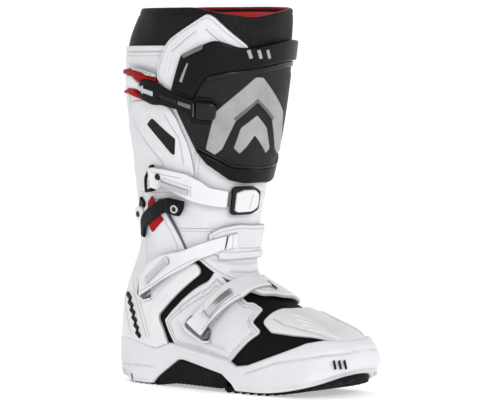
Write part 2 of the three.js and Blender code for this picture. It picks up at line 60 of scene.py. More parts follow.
# x, outer half width, inner half width, top height
FOOT = np.array([
    [40, 38, 38, 120], [80, 41, 38, 126], [120, 45, 39, 126], [150, 50, 41, 119], [180, 54, 45, 106],
    [210, 56, 48, 91], [240, 55, 50, 80], [270, 51, 49, 71], [320, 46, 46, 60],
], float)
FEATHER_Z, TOE_START, TOE_LENGTH, HEEL_ROUND, TOE_SIDE, FOOT_AXIS_Z = 24, 262, 50, 62, 4, 32
LEG_POWER, FOOT_POWER, BLEND = 2.3, 2.5, 22
FOOT_TOP_Z, LEG_BOTTOM_Z = 160, 205
TREAD_X = 8  # where the heel tread starts
# The tables' zero in the model's frame: the heel tread and the leg's shell say where it is.
SHIFT = np.array([
    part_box("heel_tread")[0].x * 1000 - TREAD_X,
    (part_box("leg_shell")[0].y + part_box("leg_shell")[1].y) * 500,
    0,
])


def smooth(table, column, t):
    """A cubic through a table's rows."""
    keys, values = table[:, 0], table[:, column]
    slope = np.empty(len(keys))
    slope[1:-1] = (values[2:] - values[:-2]) / (keys[2:] - keys[:-2])
    slope[0] = (values[1] - values[0]) / (keys[1] - keys[0])
    slope[-1] = (values[-1] - values[-2]) / (keys[-1] - keys[-2])
    t = np.clip(t, keys[0], keys[-1])
    i = np.clip(np.searchsorted(keys, t, side="right") - 1, 0, len(keys) - 2)
    h = keys[i + 1] - keys[i]
    s = (t - keys[i]) / h
    low = values[i] * (2 * s**3 - 3 * s**2 + 1) + slope[i] * h * (s**3 - 2 * s**2 + s)
    return low + values[i + 1] * (3 * s**2 - 2 * s**3) + slope[i + 1] * h * (s**3 - s**2)


def toe_side(x):
    return TOE_SIDE * np.clip((x - 120) / 150, 0, 1)


TOE_SPRING, SPRING_START, SPRING_RUN = 22, 215, 100


def spring(x):
    """How far the sole curls up at the toe."""
    return TOE_SPRING * np.clip((x - SPRING_START) / SPRING_RUN, 0, None) ** 1.8


def leg_axis(z):
    return (smooth(LEG, 1, z) + smooth(LEG, 2, z)) / 2


HOLLOW_DEPTH, HOLLOW_Z, HOLLOW_SPREAD = 7.5, 150, 34


def ankle_hollow(z):
    """How much further in the back of the ankle curves than the table's line."""
    return HOLLOW_DEPTH * np.exp(-(((z - HOLLOW_Z) / HOLLOW_SPREAD) ** 2))


def boot_distance(p):
    """Roughly how far points are outside the boot: leg and foot, blended smoothly."""
    x, y, z = p[..., 0], p[..., 1], p[..., 2]
    half = (smooth(LEG, 2, z) - smooth(LEG, 1, z) - ankle_hollow(z)) / 2
    width = smooth(LEG, 3, z)
    leg = np.abs((x - leg_axis(z) - ankle_hollow(z) / 2) / half) ** LEG_POWER
    leg = leg + np.abs(y / width) ** LEG_POWER
    leg = (leg ** (1 / LEG_POWER) - 1) * np.sqrt(half * width)
    side = y - toe_side(x)
    width = np.where(side < 0, smooth(FOOT, 1, x), smooth(FOOT, 2, x))
    height = smooth(FOOT, 3, x) - FEATHER_Z
    total = np.abs(side / width) ** FOOT_POWER
    total += (np.clip(x - TOE_START, 0, None) / TOE_LENGTH) ** FOOT_POWER
    total += (np.clip(75 - x, 0, None) / HEEL_ROUND) ** FOOT_POWER
    total += (np.clip(z - FEATHER_Z, 0, None) / height) ** FOOT_POWER
    foot = (total ** (1 / FOOT_POWER) - 1) * 40
    h = np.clip(0.5 + 0.5 * (foot - leg) / BLEND, 0, 1)
    return foot * (1 - h) + leg * h - BLEND * h * (1 - h)


def normals(p):
    """The boot's outward directions at points."""
    g = np.stack([boot_distance(p + d) - boot_distance(p - d) for d in np.eye(3) * 0.6], -1)
    return g / np.maximum(np.linalg.norm(g, axis=-1, keepdims=True), 1e-9)


def reach(origin, direction, level=0.0, floor=None):
    """Where rays from inside meet the surface, or the level that far outside it, or the floor."""
    near = np.zeros(origin.shape[:-1])
    far = np.full(origin.shape[:-1], 330.0)
    for _ in range(20):
        middle = (near + far) / 2
        p = origin + direction * middle[..., None]
        out = boot_distance(p) > level
        if floor is not None:
            out |= p[..., 2] < floor + spring(p[..., 0])
        far = np.where(out, middle, far)
        near = np.where(out, near, middle)
    return origin + direction * near[..., None]


def stack(*columns):
    return np.stack(np.broadcast_arrays(*columns), -1).astype(float)


def on_leg(places):
    """Places are angle (0 front, -90 outer side, 180 back) and height."""
    a, z = np.radians(places[..., 0]), places[..., 1]
    return reach(stack(leg_axis(z), 0, z), stack(np.cos(a), np.sin(a), 0))


def on_foot(places):
    """Places are x and angle (0 level on the outer side, 90 on top, 180 on the inner side)."""
    x, a = places[..., 0], np.radians(places[..., 1])
    return reach(stack(x, toe_side(x), FOOT_AXIS_Z), stack(0, -np.cos(a), np.sin(a)))


HEEL_TURN, TOE_TURN, HEEL_AXIS_X = 0.1, 0.14, 45


def on_rim(places):
    """Places are a turn round the sole (0 heel, outer side, 0.5 toe, inner side, 1 heel) and height."""
    turn, z = places[..., 0], places[..., 1]
    t = np.where(turn <= 0.5, turn, 1 - turn)
    hand = np.where(turn <= 0.5, -1.0, 1.0)
    side = 0.5 - HEEL_TURN - TOE_TURN
    along = np.clip((t - HEEL_TURN) / side, 0, 1)
    x = HEEL_AXIS_X + (TOE_START - HEEL_AXIS_X) * along
    heel = 180 - 90 * np.clip(t / HEEL_TURN, 0, 1)
    toe = 90 * (1 - np.clip((t - HEEL_TURN - side) / TOE_TURN, 0, 1))
    angle = np.radians(hand * np.where(t < HEEL_TURN, heel, toe))
    return reach(stack(x, toe_side(x), z), stack(np.cos(angle), np.sin(angle), 0))


# Each chart: the function above, and the millimetres that one step of each number is worth.
LEG_CHART = (on_leg, np.array([1.25, 1.0]))
FOOT_CHART = (on_foot, np.array([1.0, 1.0]))
RIM_CHART = (on_rim, np.array([840.0, 1.0]))


def mirror_leg(line):
    return [(-360 - p[0],) + tuple(p[1:]) for p in reversed(line)]


def mirror_foot(line):
    return [(p[0], 180 - p[1]) + tuple(p[2:]) for p in reversed(line)]


def curve(table, t):
    """A straight-line value at t through (t, value) pairs."""
    keys, values = zip(*table)
    return np.interp(t, keys, values)


def ease(t):
    t = np.clip(t, 0, 1)
    return t * t * (3 - 2 * t)


# ---------- Flat outlines ----------
def rounded(outline, radius):
    """The outline with its corners rounded; a corner's third number is its own radius."""
    points = [np.array(p[:2], float) for p in outline]
    out = []
    for i, p in enumerate(points):
        before, after = points[i - 1] - p, points[(i + 1) % len(points)] - p
        r = outline[i][2] if len(outline[i]) > 2 else radius
        la, lb = np.linalg.norm(before), np.linalg.norm(after)
        r = min(r, 0.46 * la, 0.46 * lb)
        start, end = p + before / la * r, p + after / lb * r
        for t in (0, 0.25, 0.5, 0.75, 1):
            out.append(start * (1 - t) ** 2 + 2 * p * t * (1 - t) + end * t * t)
    return np.array(out)


def refined(line, step, closed):
    """The line with points no further apart than step."""
    ends = np.roll(line, -1, 0) if closed else line[1:]
    out = []
    for a, b in zip(line, ends):
        n = max(1, math.ceil(np.linalg.norm(b - a) / step))
        out += [a + (b - a) * i / n for i in range(n)]
    return np.array(out if closed else out + [line[-1]])


def gap_to(points, line, closed):
    """The distance from each point to the line."""
    a = line if closed else line[:-1]
    b = np.roll(line, -1, 0) if closed else line[1:]
    best = np.full(len(points), 1e9)
    for i in range(0, len(a), 64):
        p, q = a[None, i : i + 64], b[None, i : i + 64]
        d = q - p
        t = ((points[:, None] - p) * d).sum(-1) / np.maximum((d * d).sum(-1), 1e-12)
        near = p + d * np.clip(t, 0, 1)[..., None]
        best = np.minimum(best, np.linalg.norm(points[:, None] - near, axis=-1).min(1))
    return best


def inside(points, loop):
    """Which points lie within the loop."""
    x, y = points[:, 0:1], points[:, 1:2]
    a, b = loop[None], np.roll(loop, -1, 0)[None]
    across = (a[..., 1] > y) != (b[..., 1] > y)
    rise = np.where(b[..., 1] == a[..., 1], 1e-12, b[..., 1] - a[..., 1])
    at = a[..., 0] + (y - a[..., 1]) / rise * (b[..., 0] - a[..., 0])
    return (across & (x < at)).sum(1) % 2 == 1


def inset(loop, depth, closed=True):
    """The line moved to its inner (left) side by depth."""
    after = np.roll(loop, -1, 0) if closed else np.vstack([loop[1:], 2 * loop[-1] - loop[-2]])
    before = np.roll(loop, 1, 0) if closed else np.vstack([2 * loop[0] - loop[1], loop[:-1]])
    d = after - before
    d /= np.maximum(np.linalg.norm(d, axis=1, keepdims=True), 1e-9)
    if closed:
        nxt = np.roll(loop, -1, 0)
        if (loop[:, 0] * nxt[:, 1] - nxt[:, 0] * loop[:, 1]).sum() < 0:
            d = -d
    return loop + np.stack([-d[:, 1], d[:, 0]], 1) * depth


# ---------- Mesh pieces ----------
def finish_piece(name, points, faces, look, body, slot, nodes=(), uv=None, sharp=None):
    """A mesh object from millimetre points, riding on its body."""
    mesh = bpy.data.meshes.new(name)
    co = (np.asarray(points) + SHIFT) / 1000
    mesh.from_pydata(co.tolist(), [], [list(map(int, f)) for f in faces])
    mesh.polygons.foreach_set("use_smooth", [True] * len(mesh.polygons))
    if sharp:
        mesh.set_sharp_from_angle(angle=math.radians(sharp))
    if uv is not None:
        layer = mesh.uv_layers.new(name="UVMap")
        index = np.empty(len(mesh.loops), np.int32)
        mesh.loops.foreach_get("vertex_index", index)
        layer.data.foreach_set("uv", (np.asarray(uv)[index, :2] / 1000).astype(np.float32).ravel())
        # A third uv column is painted shade along edges, seams and grooves, kept as a point attribute.
        if np.asarray(uv).shape[1] == 3:
            seam = mesh.attributes.new("seam", "FLOAT", "POINT")
            seam.data.foreach_set("value", np.asarray(uv)[:, 2].astype(np.float32))
    mesh.materials.append(look)
    mesh.validate()
    obj = bpy.data.objects.new(name, mesh)
    bpy.context.scene.collection.objects.link(obj)
    if nodes:
        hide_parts(*nodes)
    if isinstance(body, str):
        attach(obj, body)
    return obj


def level_of(value, places):
    """A level at each place, from a number or from a function of the place's two numbers."""
    return value(places[:, 0], places[:, 1]) if callable(value) else np.full(len(places), float(value))


def metric(outline, scale):
    """A chart outline in millimetres; a point's third number, its corner radius, stays."""
    return [tuple(np.array(p[:2]) * scale) + tuple(p[2:]) for p in outline]


FIELD_CORNER = 2.5


def sheet_mesh(chart, outline, low, high, edge=1.2, grid=2.4, corner=3.0, lines=(), rims=(), plateaus=(),
               under=0.5):
    """A closed panel on the boot.

    lines are (points, half width, depth) grooves, and rims (distance in, half width, depth) grooves that
    follow the edge. plateaus are (outline, height, bevel) raised fields. A depth below 0 makes a ridge.
    """
    place, scale = chart
    loop = refined(rounded(metric(outline, scale), corner), grid, True)
    rings = [edge * k for k in (0.16, 0.5, 1.0)]
    for at, half, _ in rims:
        rings += [at - half, at - half / 2, at, at + half / 2, at + half]
    extra = []
    for depth in rings:
        ring = inset(loop, depth)
        extra.append(ring[gap_to(ring, loop, True) > depth * 0.93])
    cuts = [refined(np.array(points, float) * scale, grid * 0.8, False) for points, _, _ in lines]
    for cut, (_, half, _) in zip(cuts, lines):
        for off in (-1, -0.5, 0, 0.5, 1):
            extra.append(inset(cut, half * off, False))
    fields = [refined(rounded(metric(o, scale), FIELD_CORNER), grid * 0.8, True) for o, _, _ in plateaus]
    for field, (_, _, bevel) in zip(fields, plateaus):
        for depth in (0, bevel / 2, bevel):
            extra.append(inset(field, depth))
    low_xy, high_xy = loop.min(0), loop.max(0)
    xs = np.arange(low_xy[0], high_xy[0], grid)
    ys = np.arange(low_xy[1], high_xy[1], grid * 0.87)
    cells = np.array([(x + grid * 0.5 * (j % 2), y) for j, y in enumerate(ys) for x in xs])
    cells = cells[gap_to(cells, loop, True) > edge + grid * 0.35]
    for cut, (_, half, _) in zip(cuts, lines):
        cells = cells[gap_to(cells, cut, False) > half * 1.25]
    extra.append(cells)
    extra = np.vstack([e for e in extra if len(e)])
    keep = inside(extra, loop) & (gap_to(extra, loop, True) > edge * 0.12)
    extra = extra[keep]
    flat = np.vstack([loop, extra])
    ring = [(i, (i + 1) % len(loop)) for i in range(len(loop))]
    made = geometry.delaunay_2d_cdt([Vector(p) for p in flat], ring, [], 1, 1e-4)
    flat = np.array([tuple(p) for p in made[0]])
    faces = list(made[2])
    gap = gap_to(flat, loop, True)
    s = np.clip(gap / max(edge, 1e-6), 0, 1)
    rise = np.sqrt(np.clip(1 - (1 - s) ** 2, 0, 1))
    places = flat / scale
    bottom = level_of(low, places)
    top = level_of(high, places)
    height = bottom + (top - bottom) * rise
    seam = 1 - ease(gap / (0.5 * edge))  # painted shade: a dark line along edges, seams and grooves, where shade falls
    for at, half, depth in rims:
        groove = 1 - ease(np.abs(gap - at) / half)
        height -= depth * groove
        seam = np.maximum(seam, 0.8 * groove)
    for cut, (_, half, depth) in zip(cuts, lines):
        groove = (1 - ease(gap_to(flat, cut, False) / half)) * ease(gap / edge)
        height -= depth * groove
        if depth > 0:
            seam = np.maximum(seam, groove * min(1, 0.9 / half))
    for field, (_, lift, bevel) in zip(fields, plateaus):
        depth = np.where(inside(flat, field), gap_to(flat, field, True), 0)
        height += lift * np.clip(depth / bevel, 0, 1)
    base = place(places)
    normal = normals(base)
    upper = base + normal * height[:, None]
    lower = base + normal * (bottom - under)[:, None]
    n = len(flat)
    edges = {}
    for f in faces:
        for a, b in zip(f, list(f[1:]) + [f[0]]):
            edges[(a, b)] = edges.get((a, b), 0) + 1
    walls = [(b, a, a + n, b + n) for (a, b) in edges if (b, a) not in edges]
    # The charts' own turning sense decides which side is out.
    f = np.array(faces[:200])
    across = np.cross(upper[f[:, 1]] - upper[f[:, 0]], upper[f[:, 2]] - upper[f[:, 0]])
    flip = (across * normal[f[:, 0]]).sum() < 0
    solid = [tuple(f) for f in faces] + [tuple(i + n for i in reversed(f)) for f in faces] + walls
    if flip:
        solid = [tuple(reversed(f)) for f in solid]
    shown = np.column_stack([flat, seam])
    return np.vstack([upper, lower]), solid, np.vstack([shown, shown])


def merged(parts):
    points, faces, uvs, shift = [], [], [], 0
    for p, f, uv in parts:
        points.append(p)
        uvs.append(uv)
        faces += [tuple(i + shift for i in face) for face in f]
        shift += len(p)
    return np.vstack(points), faces, np.vstack(uvs)


def panel(name, chart, outline, low, high, look, body, slot, nodes=(), more=(), sharp=None, **shape):
    """A panel as one object; more adds further outlines to the same piece."""
    parts = [sheet_mesh(chart, o, low, high, **shape) for o in (outline, *more)]
    points, faces, uv = merged(parts)
    return finish_piece(name, points, faces, look, body, slot, nodes, uv, sharp)


def stitch_mesh(chart, line, height, pitch=3.1, length=2.2, radius=0.34, closed=False):
    """A row of raised stitches along a line of chart places."""
    place, scale = chart
    path = refined(np.array(line, float) * scale, 0.5, closed)
    steps = np.linalg.norm(np.diff(path, axis=0), axis=1)
    run = np.concatenate([[0], np.cumsum(steps)])
    count = max(1, int(run[-1] / pitch))
    rings = np.array([-0.5, -0.36, 0, 0.36, 0.5]) * length
    sizes = np.array([0.25, 0.85, 1.0, 0.85, 0.25]) * radius
    sinks = np.array([-0.6, 0.35, 0.6, 0.35, -0.6]) * radius
    at = (np.arange(count) + 0.5) * (run[-1] / count)
    spots = at[:, None] + rings[None]
    flat = np.stack([np.interp(spots, run, path[:, 0]), np.interp(spots, run, path[:, 1])], -1)
    places = flat.reshape(-1, 2) / scale
    base = place(places)
    normal = normals(base)
    lift = level_of(height, places)
    centre = (base + normal * lift[:, None]).reshape(count, 5, 3) + normal.reshape(count, 5,
                                                                                   3) * sinks[None, :, None]
    along = centre[:, 4] - centre[:, 0]
    along /= np.maximum(np.linalg.norm(along, axis=1, keepdims=True), 1e-9)
    up = normal.reshape(count, 5, 3)[:, 2]
    across = np.cross(along, up)
    turn = np.linspace(0, 2 * np.pi, 6, endpoint=False)
    circle = np.cos(turn)[:, None] * across[:, None] + np.sin(turn)[:, None] * up[:, None]
    points = centre[:, :, None] + circle[:, None] * sizes[None, :, None, None]
    points = points.reshape(-1, 3)
    faces = []
    for s in range(count):
        first = s * 30
        for r in range(4):
            for c in range(6):
                a, b = first + r * 6 + c, first + r * 6 + (c + 1) % 6
                faces.append((a, b, b + 6, a + 6))
        faces.append(tuple(first + c for c in reversed(range(6))))
        faces.append(tuple(first + 24 + c for c in range(6)))
    uv = np.repeat(flat.reshape(-1, 2), 6, axis=0)
    return points, faces, uv


def stitches(name, body, slot, *rows, look=None):
    """Rows of stitches as one piece; a row is (chart, line, height)."""
    points, faces, uv = merged([stitch_mesh(*row) for row in rows])
    return finish_piece(name, points, faces, look or looks["thread"], body, slot, uv=uv)


def grid_mesh(outer, inner, wrap):
    """A closed skin between two grids of points."""
    rows, columns = outer.shape[:2]
    n = rows * columns
    points = np.vstack([outer.reshape(-1, 3), inner.reshape(-1, 3)])
    faces = []
    spans = columns if wrap else columns - 1
    at = lambda layer, r, c: layer * n + r * columns + c % columns
    for r in range(rows - 1):
        for c in range(spans):
            faces.append((at(0, r, c), at(0, r, c + 1), at(0, r + 1, c + 1), at(0, r + 1, c)))
            faces.append((at(1, r, c), at(1, r + 1, c), at(1, r + 1, c + 1), at(1, r, c + 1)))
    for c in range(spans):
        faces.append((at(0, 0, c), at(1, 0, c), at(1, 0, c + 1), at(0, 0, c + 1)))
        faces.append((at(0, rows - 1, c), at(0, rows - 1, c + 1), at(1, rows - 1, c + 1),
                      at(1, rows - 1, c)))
    if not wrap:
        for r in range(rows - 1):
            faces.append((at(0, r, 0), at(0, r + 1, 0), at(1, r + 1, 0), at(1, r, 0)))
            faces.append((at(0, r, columns - 1), at(1, r, columns - 1), at(1, r + 1, columns - 1),
                          at(0, r + 1, columns - 1)))
    return points, faces


def outward(points, faces):
    """The faces turned so that the solid's volume is positive."""
    volume = 0.0
    for f in faces:
        a = points[f[0]]
        for i in range(1, len(f) - 1):
            volume += np.dot(a, np.cross(points[f[i]], points[f[i + 1]]))
    return faces if volume > 0 else [tuple(reversed(f)) for f in faces]


def tube(name, heights, columns, outer_level, inner_level, look, body, slot, nodes=(), warp=None,
         seams=None):
    """A tube round the leg. Levels are functions of angle and height, or numbers; warp lifts places."""
    angles = np.linspace(-180, 180, columns, endpoint=False)
    a, z = np.meshgrid(angles, heights)
    places = stack(a, z)
    base = on_leg(stack(a, z + warp(a, z)) if warp else places)
    normal = normals(base)
    flat = places.reshape(-1, 2)
    skins = [base + normal * level_of(v, flat).reshape(a.shape)[..., None] for v in (outer_level,
                                                                                     inner_level)]
    points, faces = grid_mesh(*skins, True)
    # The optional function gives painted shade along the tube's seams and grooves, stored with the uv.
    shown = np.column_stack([flat * LEG_CHART[1], seams(a, z).ravel() if seams else 0 * flat[:, 0]])
    return finish_piece(name, points, outward(points, faces), look, body, slot, nodes,
                        np.vstack([shown, shown]))


def turned(spot, direction, profile, sides=28):
    """A solid of revolution: profile pairs are radius and height along direction."""
    up = np.array(direction, float)
    up /= np.linalg.norm(up)
    side = np.cross(up, [0, 0, 1] if abs(up[2]) < 0.9 else [1, 0, 0])
    side /= np.linalg.norm(side)
    other = np.cross(up, side)
    points, faces = [], []
    for r, h in profile:
        for i in range(sides):
            t = 2 * math.pi * i / sides
            points.append(spot + up * h + (side * math.cos(t) + other * math.sin(t)) * r)
    for k in range(len(profile) - 1):
        for i in range(sides):
            a, b = k * sides + i, k * sides + (i + 1) % sides
            faces.append((a, b, b + sides, a + sides))
    faces.append(tuple(reversed(range(sides))))
    faces.append(tuple((len(profile) - 1) * sides + i for i in range(sides)))
    points = np.array(points)
    return points, outward(points, faces), points[:, :2].copy()


# ---------- Materials ----------
class Nodes:
    """Short ways to add shader nodes."""

    def __init__(self, name):
        self.material = bpy.data.materials.new(name)
        self.material.use_nodes = True
        self.tree = self.material.node_tree
        self.shader = self.tree.nodes["Principled BSDF"]

    def add(self, kind, **values):
        node = self.tree.nodes.new(kind)
        for key, value in values.items():
            if key in node.inputs:
                node.inputs[key].default_value = value
            else:
                setattr(node, key, value)
        return node

    def link(self, a, b):
        self.tree.links.new(a, b)

    def coordinates(self, kind="Object", scale=(1, 1, 1), turn=0):
        source = self.add("ShaderNodeTexCoord")
        mapping = self.add("ShaderNodeMapping")
        mapping.inputs["Scale"].default_value = scale
        mapping.inputs["Rotation"].default_value = (0, 0, math.radians(turn))
        self.link(source.outputs[kind], mapping.inputs["Vector"])
        return mapping.outputs["Vector"]

    def noise(self, at, scale, detail=3.0, roughness=0.6):
        node = self.add("ShaderNodeTexNoise", Scale=scale, Detail=detail, Roughness=roughness)
        self.link(at, node.inputs["Vector"])
        return node.outputs["Fac"]

    def ramp(self, value, low, high, start=0.0, end=1.0):
        node = self.add("ShaderNodeMapRange")
        self.link(value, node.inputs["Value"])
        for key, v in (("From Min", start), ("From Max", end), ("To Min", low), ("To Max", high)):
            node.inputs[key].default_value = v
        return node.outputs["Result"]

    def mix(self, factor, a, b):
        node = self.add("ShaderNodeMix", data_type="RGBA")
        self.link(factor, node.inputs["Factor"])
        node.inputs["A"].default_value = (*a, 1)
        node.inputs["B"].default_value = (*b, 1)
        return node.outputs["Result"]

    def math(self, operation, a, b=None):
        node = self.add("ShaderNodeMath", operation=operation)
        for i, v in enumerate((a, b)):
            if v is None:
                continue
            if isinstance(v, (int, float)):
                node.inputs[i].default_value = v
            else:
                self.link(v, node.inputs[i])
        return node.outputs[0]

    def bump(self, *layers):
        """Layers are (height, strength, distance in metres)."""
        last = None
        for height, strength, distance in layers:
            node = self.add("ShaderNodeBump", Strength=strength, Distance=distance)
            self.link(height, node.inputs["Height"])
            if last is not None:
                self.link(last, node.inputs["Normal"])
            last = node.outputs["Normal"]
        self.link(last, self.shader.inputs["Normal"])

    def set(self, **values):
        for key, value in values.items():
            self.shader.inputs[key.replace("_", " ")].default_value = value

    def color(self, output):
        self.link(output, self.shader.inputs["Base Color"])

    def roughness(self, output):
        self.link(output, self.shader.inputs["Roughness"])


SEAM_SHADE = 0.75  # how much of the dark colour the painted shade takes at the deepest part of an edge, seam or groove


def coated(name, light, dark, rough, grain, depth, coat=0.0, shine=0.5):
    """Coated leather or moulded plastic: fine grain, faint mottling, scuffs in the gloss, and painted shade
    along edges, seams and grooves.
    """
    n = Nodes(name)
    at = n.coordinates()
    patches = n.noise(at, 28, 4, 0.6)
    worn = n.mix(n.ramp(patches, 0, 1, 0.35, 0.7), light, dark)
    # Painted shade: the stored point attribute darkens the colour along edges, seams and grooves.
    seam = n.add("ShaderNodeAttribute", attribute_name="seam")
    shaded = n.add("ShaderNodeMix", data_type="RGBA")
    n.link(n.math("MULTIPLY", seam.outputs["Fac"], SEAM_SHADE), shaded.inputs["Factor"])
    n.link(worn, shaded.inputs["A"])
    shaded.inputs["B"].default_value = (*(0.3 * c for c in dark), 1)
    n.color(shaded.outputs["Result"])
    scuffs = n.noise(at, 120, 6, 0.7)
    n.roughness(n.ramp(scuffs, rough - 0.06, rough + 0.1, 0.3, 0.7))
    cells = n.add("ShaderNodeTexVoronoi", feature="SMOOTH_F1", Scale=grain, Randomness=1.0)
    n.link(at, cells.inputs["Vector"])
    fine = n.noise(at, grain * 2.2, 4, 0.65)
    n.bump((cells.outputs["Distance"], 0.5, depth), (fine, 0.35, depth * 0.7), (patches, 0.25, 0.0012))
    n.set(Coat_Weight=coat, Coat_Roughness=0.25, Specular_IOR_Level=shine)
    return n.material


def woven(name, light, dark, pitch, rough, depth, sheen=0.15):
    """Woven or knitted cloth: threads over and under along the piece's own UV, pitch in metres."""
    n = Nodes(name)
    at = n.coordinates("UV", (1 / pitch, 1 / pitch, 1))
    split = n.add("ShaderNodeSeparateXYZ")
    n.link(at, split.inputs[0])
    u = n.math("SINE", n.math("MULTIPLY", split.outputs[0], math.pi))
    v = n.math("SINE", n.math("MULTIPLY", split.outputs[1], math.pi))
    weave = n.math("MULTIPLY", u, v)
    height = n.math("ABSOLUTE", weave)
    body = n.coordinates()
    fuzz = n.noise(body, 900, 3, 0.7)
    shade = n.math("ADD", n.math("MULTIPLY", height, 0.7), n.math("MULTIPLY", fuzz, 0.3))
    n.color(n.mix(shade, dark, light))
    n.roughness(n.ramp(fuzz, rough - 0.05, rough + 0.08))
    n.bump((height, 0.8, depth), (fuzz, 0.4, depth * 0.6))
    n.set(Sheen_Weight=sheen, Sheen_Roughness=0.5, Specular_IOR_Level=0.25)
    return n.material


def perforated(name, light, dark, pitch, rough, order):
    """Soft leather with small holes; order 0 sets them in straight rows, 1 scatters them."""
    n = Nodes(name)
    at = n.coordinates("UV", (1 / pitch, 1 / pitch, 1), 45)
    dots = n.add("ShaderNodeTexVoronoi", voronoi_dimensions="2D", Scale=1.0, Randomness=order)
    n.link(at, dots.inputs["Vector"])
    hole = n.ramp(dots.outputs["Distance"], 1, 0, 0.2, 0.36)
    body = n.coordinates()
    patches = n.noise(body, 40, 4, 0.6)
    fine = n.noise(body, 1500, 4, 0.7)
    base = n.mix(n.ramp(patches, 0, 1, 0.3, 0.7), light, dark)
    node = n.add("ShaderNodeMix", data_type="RGBA")
    n.link(hole, node.inputs["Factor"])
    n.link(base, node.inputs["A"])
    node.inputs["B"].default_value = (0.002, 0.002, 0.002, 1)
    n.color(node.outputs["Result"])
    n.roughness(n.ramp(fine, rough - 0.08, rough + 0.1))
    pebbles = n.add("ShaderNodeTexVoronoi", feature="SMOOTH_F1", Scale=620, Randomness=1.0)
    n.link(body, pebbles.inputs["Vector"])
    n.bump((n.math("SUBTRACT", 1.0, hole), 1.0, 0.0004), (pebbles.outputs["Distance"], 0.8, 0.0006),
           (fine, 0.35, 0.0002), (patches, 0.4, 0.0015))
    n.set(Specular_IOR_Level=0.1)
    return n.material


def brushed(name, light, dark, rough, along=25, across=1400, metal=1.0):
    """Metal brushed along the piece's length."""
    n = Nodes(name)
    at = n.coordinates("UV", (along, across, 1))
    lines = n.noise(at, 1.0, 5, 0.7)
    n.color(n.mix(lines, dark, light))
    n.roughness(n.ramp(lines, rough - 0.07, rough + 0.1, 0.3, 0.7))
    n.bump((lines, 0.25, 0.0001))
    n.set(Metallic=metal)
    return n.material


looks = {
    "leather": coated("white_leather", (0.75, 0.755, 0.775), (0.69, 0.7, 0.725), 0.42, 1100, 0.0003),
    "fine_leather": coated("white_microfibre", (0.74, 0.745, 0.77), (0.68, 0.69, 0.72), 0.5, 1700, 0.00026),
    "plastic": coated("white_plastic", (0.78, 0.785, 0.8), (0.73, 0.735, 0.755), 0.33, 2600, 0.00006, 0.1),
    "sole_plastic": coated("white_sole", (0.74, 0.745, 0.77), (0.69, 0.7, 0.725), 0.4, 1900, 0.0001),
    "charcoal": coated("charcoal_plastic", (0.017, 0.017, 0.018), (0.011, 0.011, 0.012), 0.5, 2300, 0.0002,
                       shine=0.14),
    "black": coated("black_plastic", (0.004, 0.004, 0.0045), (0.0025, 0.0025, 0.003), 0.33, 2600, 0.00014,
                    0.05, 0.12),
    "rubber": coated("black_rubber", (0.008, 0.008, 0.008), (0.005, 0.005, 0.005), 0.72, 1500, 0.0003,
                     shine=0.12),
    "red": coated("red_plastic", (0.37, 0.004, 0.005), (0.27, 0.003, 0.004), 0.36, 2600, 0.00008, 0.02,
                  0.08),
    "gloss_black": coated("gloss_black", (0.005, 0.005, 0.006), (0.003, 0.003, 0.003), 0.2, 2600, 0.00004,
                          0.06, 0.25),
    "silver": coated("grey_print", (0.38, 0.38, 0.385), (0.25, 0.25, 0.255), 0.36, 2400, 0.0002),
    "dark_silver": coated("dark_grey_print", (0.15, 0.15, 0.155), (0.1, 0.1, 0.105), 0.42, 2400, 0.0002,
                          shine=0.3),
    "lining": woven("red_lining", (0.45, 0.012, 0.014), (0.25, 0.005, 0.007), 0.0016, 0.85, 0.0003),
    # Dark grey for the strip of painted shade along the ankle guard's front edge.
    "seam": coated("grey_seam", (0.16, 0.165, 0.175), (0.1, 0.1, 0.11), 0.6, 1800, 0.0001, shine=0.2),
    "thread": woven("white_thread", (0.62, 0.63, 0.65), (0.45, 0.46, 0.48), 0.0005, 0.7, 0.00008),
    "board": woven("insole_board", (0.12, 0.1, 0.085), (0.07, 0.06, 0.05), 0.0013, 0.9, 0.0001),
    "collar": perforated("black_collar", (0.017, 0.017, 0.018), (0.008, 0.008, 0.009), 0.0028, 0.5, 0.4),
    "vent": perforated("vent_mesh", (0.03, 0.03, 0.03), (0.02, 0.02, 0.02), 0.0022, 0.7, 0.1),
    "steel": brushed("brushed_steel", (0.66, 0.66, 0.67), (0.4, 0.4, 0.42), 0.2),
    "dark_steel": brushed("dark_steel", (0.2, 0.2, 0.21), (0.1, 0.1, 0.11), 0.32),
    "vamp": coated("black_vamp", (0.0055, 0.0055, 0.006), (0.0035, 0.0035, 0.004), 0.62, 1300, 0.0003,
                   shine=0.1),
    "floor": coated("pale_floor", (0.9, 0.9, 0.9), (0.89, 0.89, 0.89), 0.9, 400, 0.00002, shine=0.1),
}
FLOOR_GLOW = 0.44
glow = looks["floor"].node_tree.nodes["Principled BSDF"].inputs
glow["Emission Color"].default_value = (1, 1, 1, 1)
glow["Emission Strength"].default_value = FLOOR_GLOW


# ---------- Builders shared by several pieces ----------
def strip(lower, upper):
    """The outline between two edge lines that both run from rear to front."""
    return list(lower) + list(reversed(upper))


def along(line, t):
    at = np.clip(t, 0, 1) * (len(line) - 1)
    i = min(int(at), len(line) - 2)
    a, b = np.array(line[i][:2], float), np.array(line[i + 1][:2], float)
    return a + (b - a) * (at - i)


def turn_of(x, hand=-1):
    """The rim chart's turn at an x on the outer (-1) or inner (1) side."""
    t = HEEL_TURN + (x - HEEL_AXIS_X) / (TOE_START - HEEL_AXIS_X) * (0.5 - HEEL_TURN - TOE_TURN)
    return t if hand < 0 else 1 - t


def spot_on(chart, place, lift):
    """A point over a place, and the normal there."""
    base = chart[0](np.array([place], float))
    normal = normals(base)
    return (base + normal * lift)[0], normal[0]


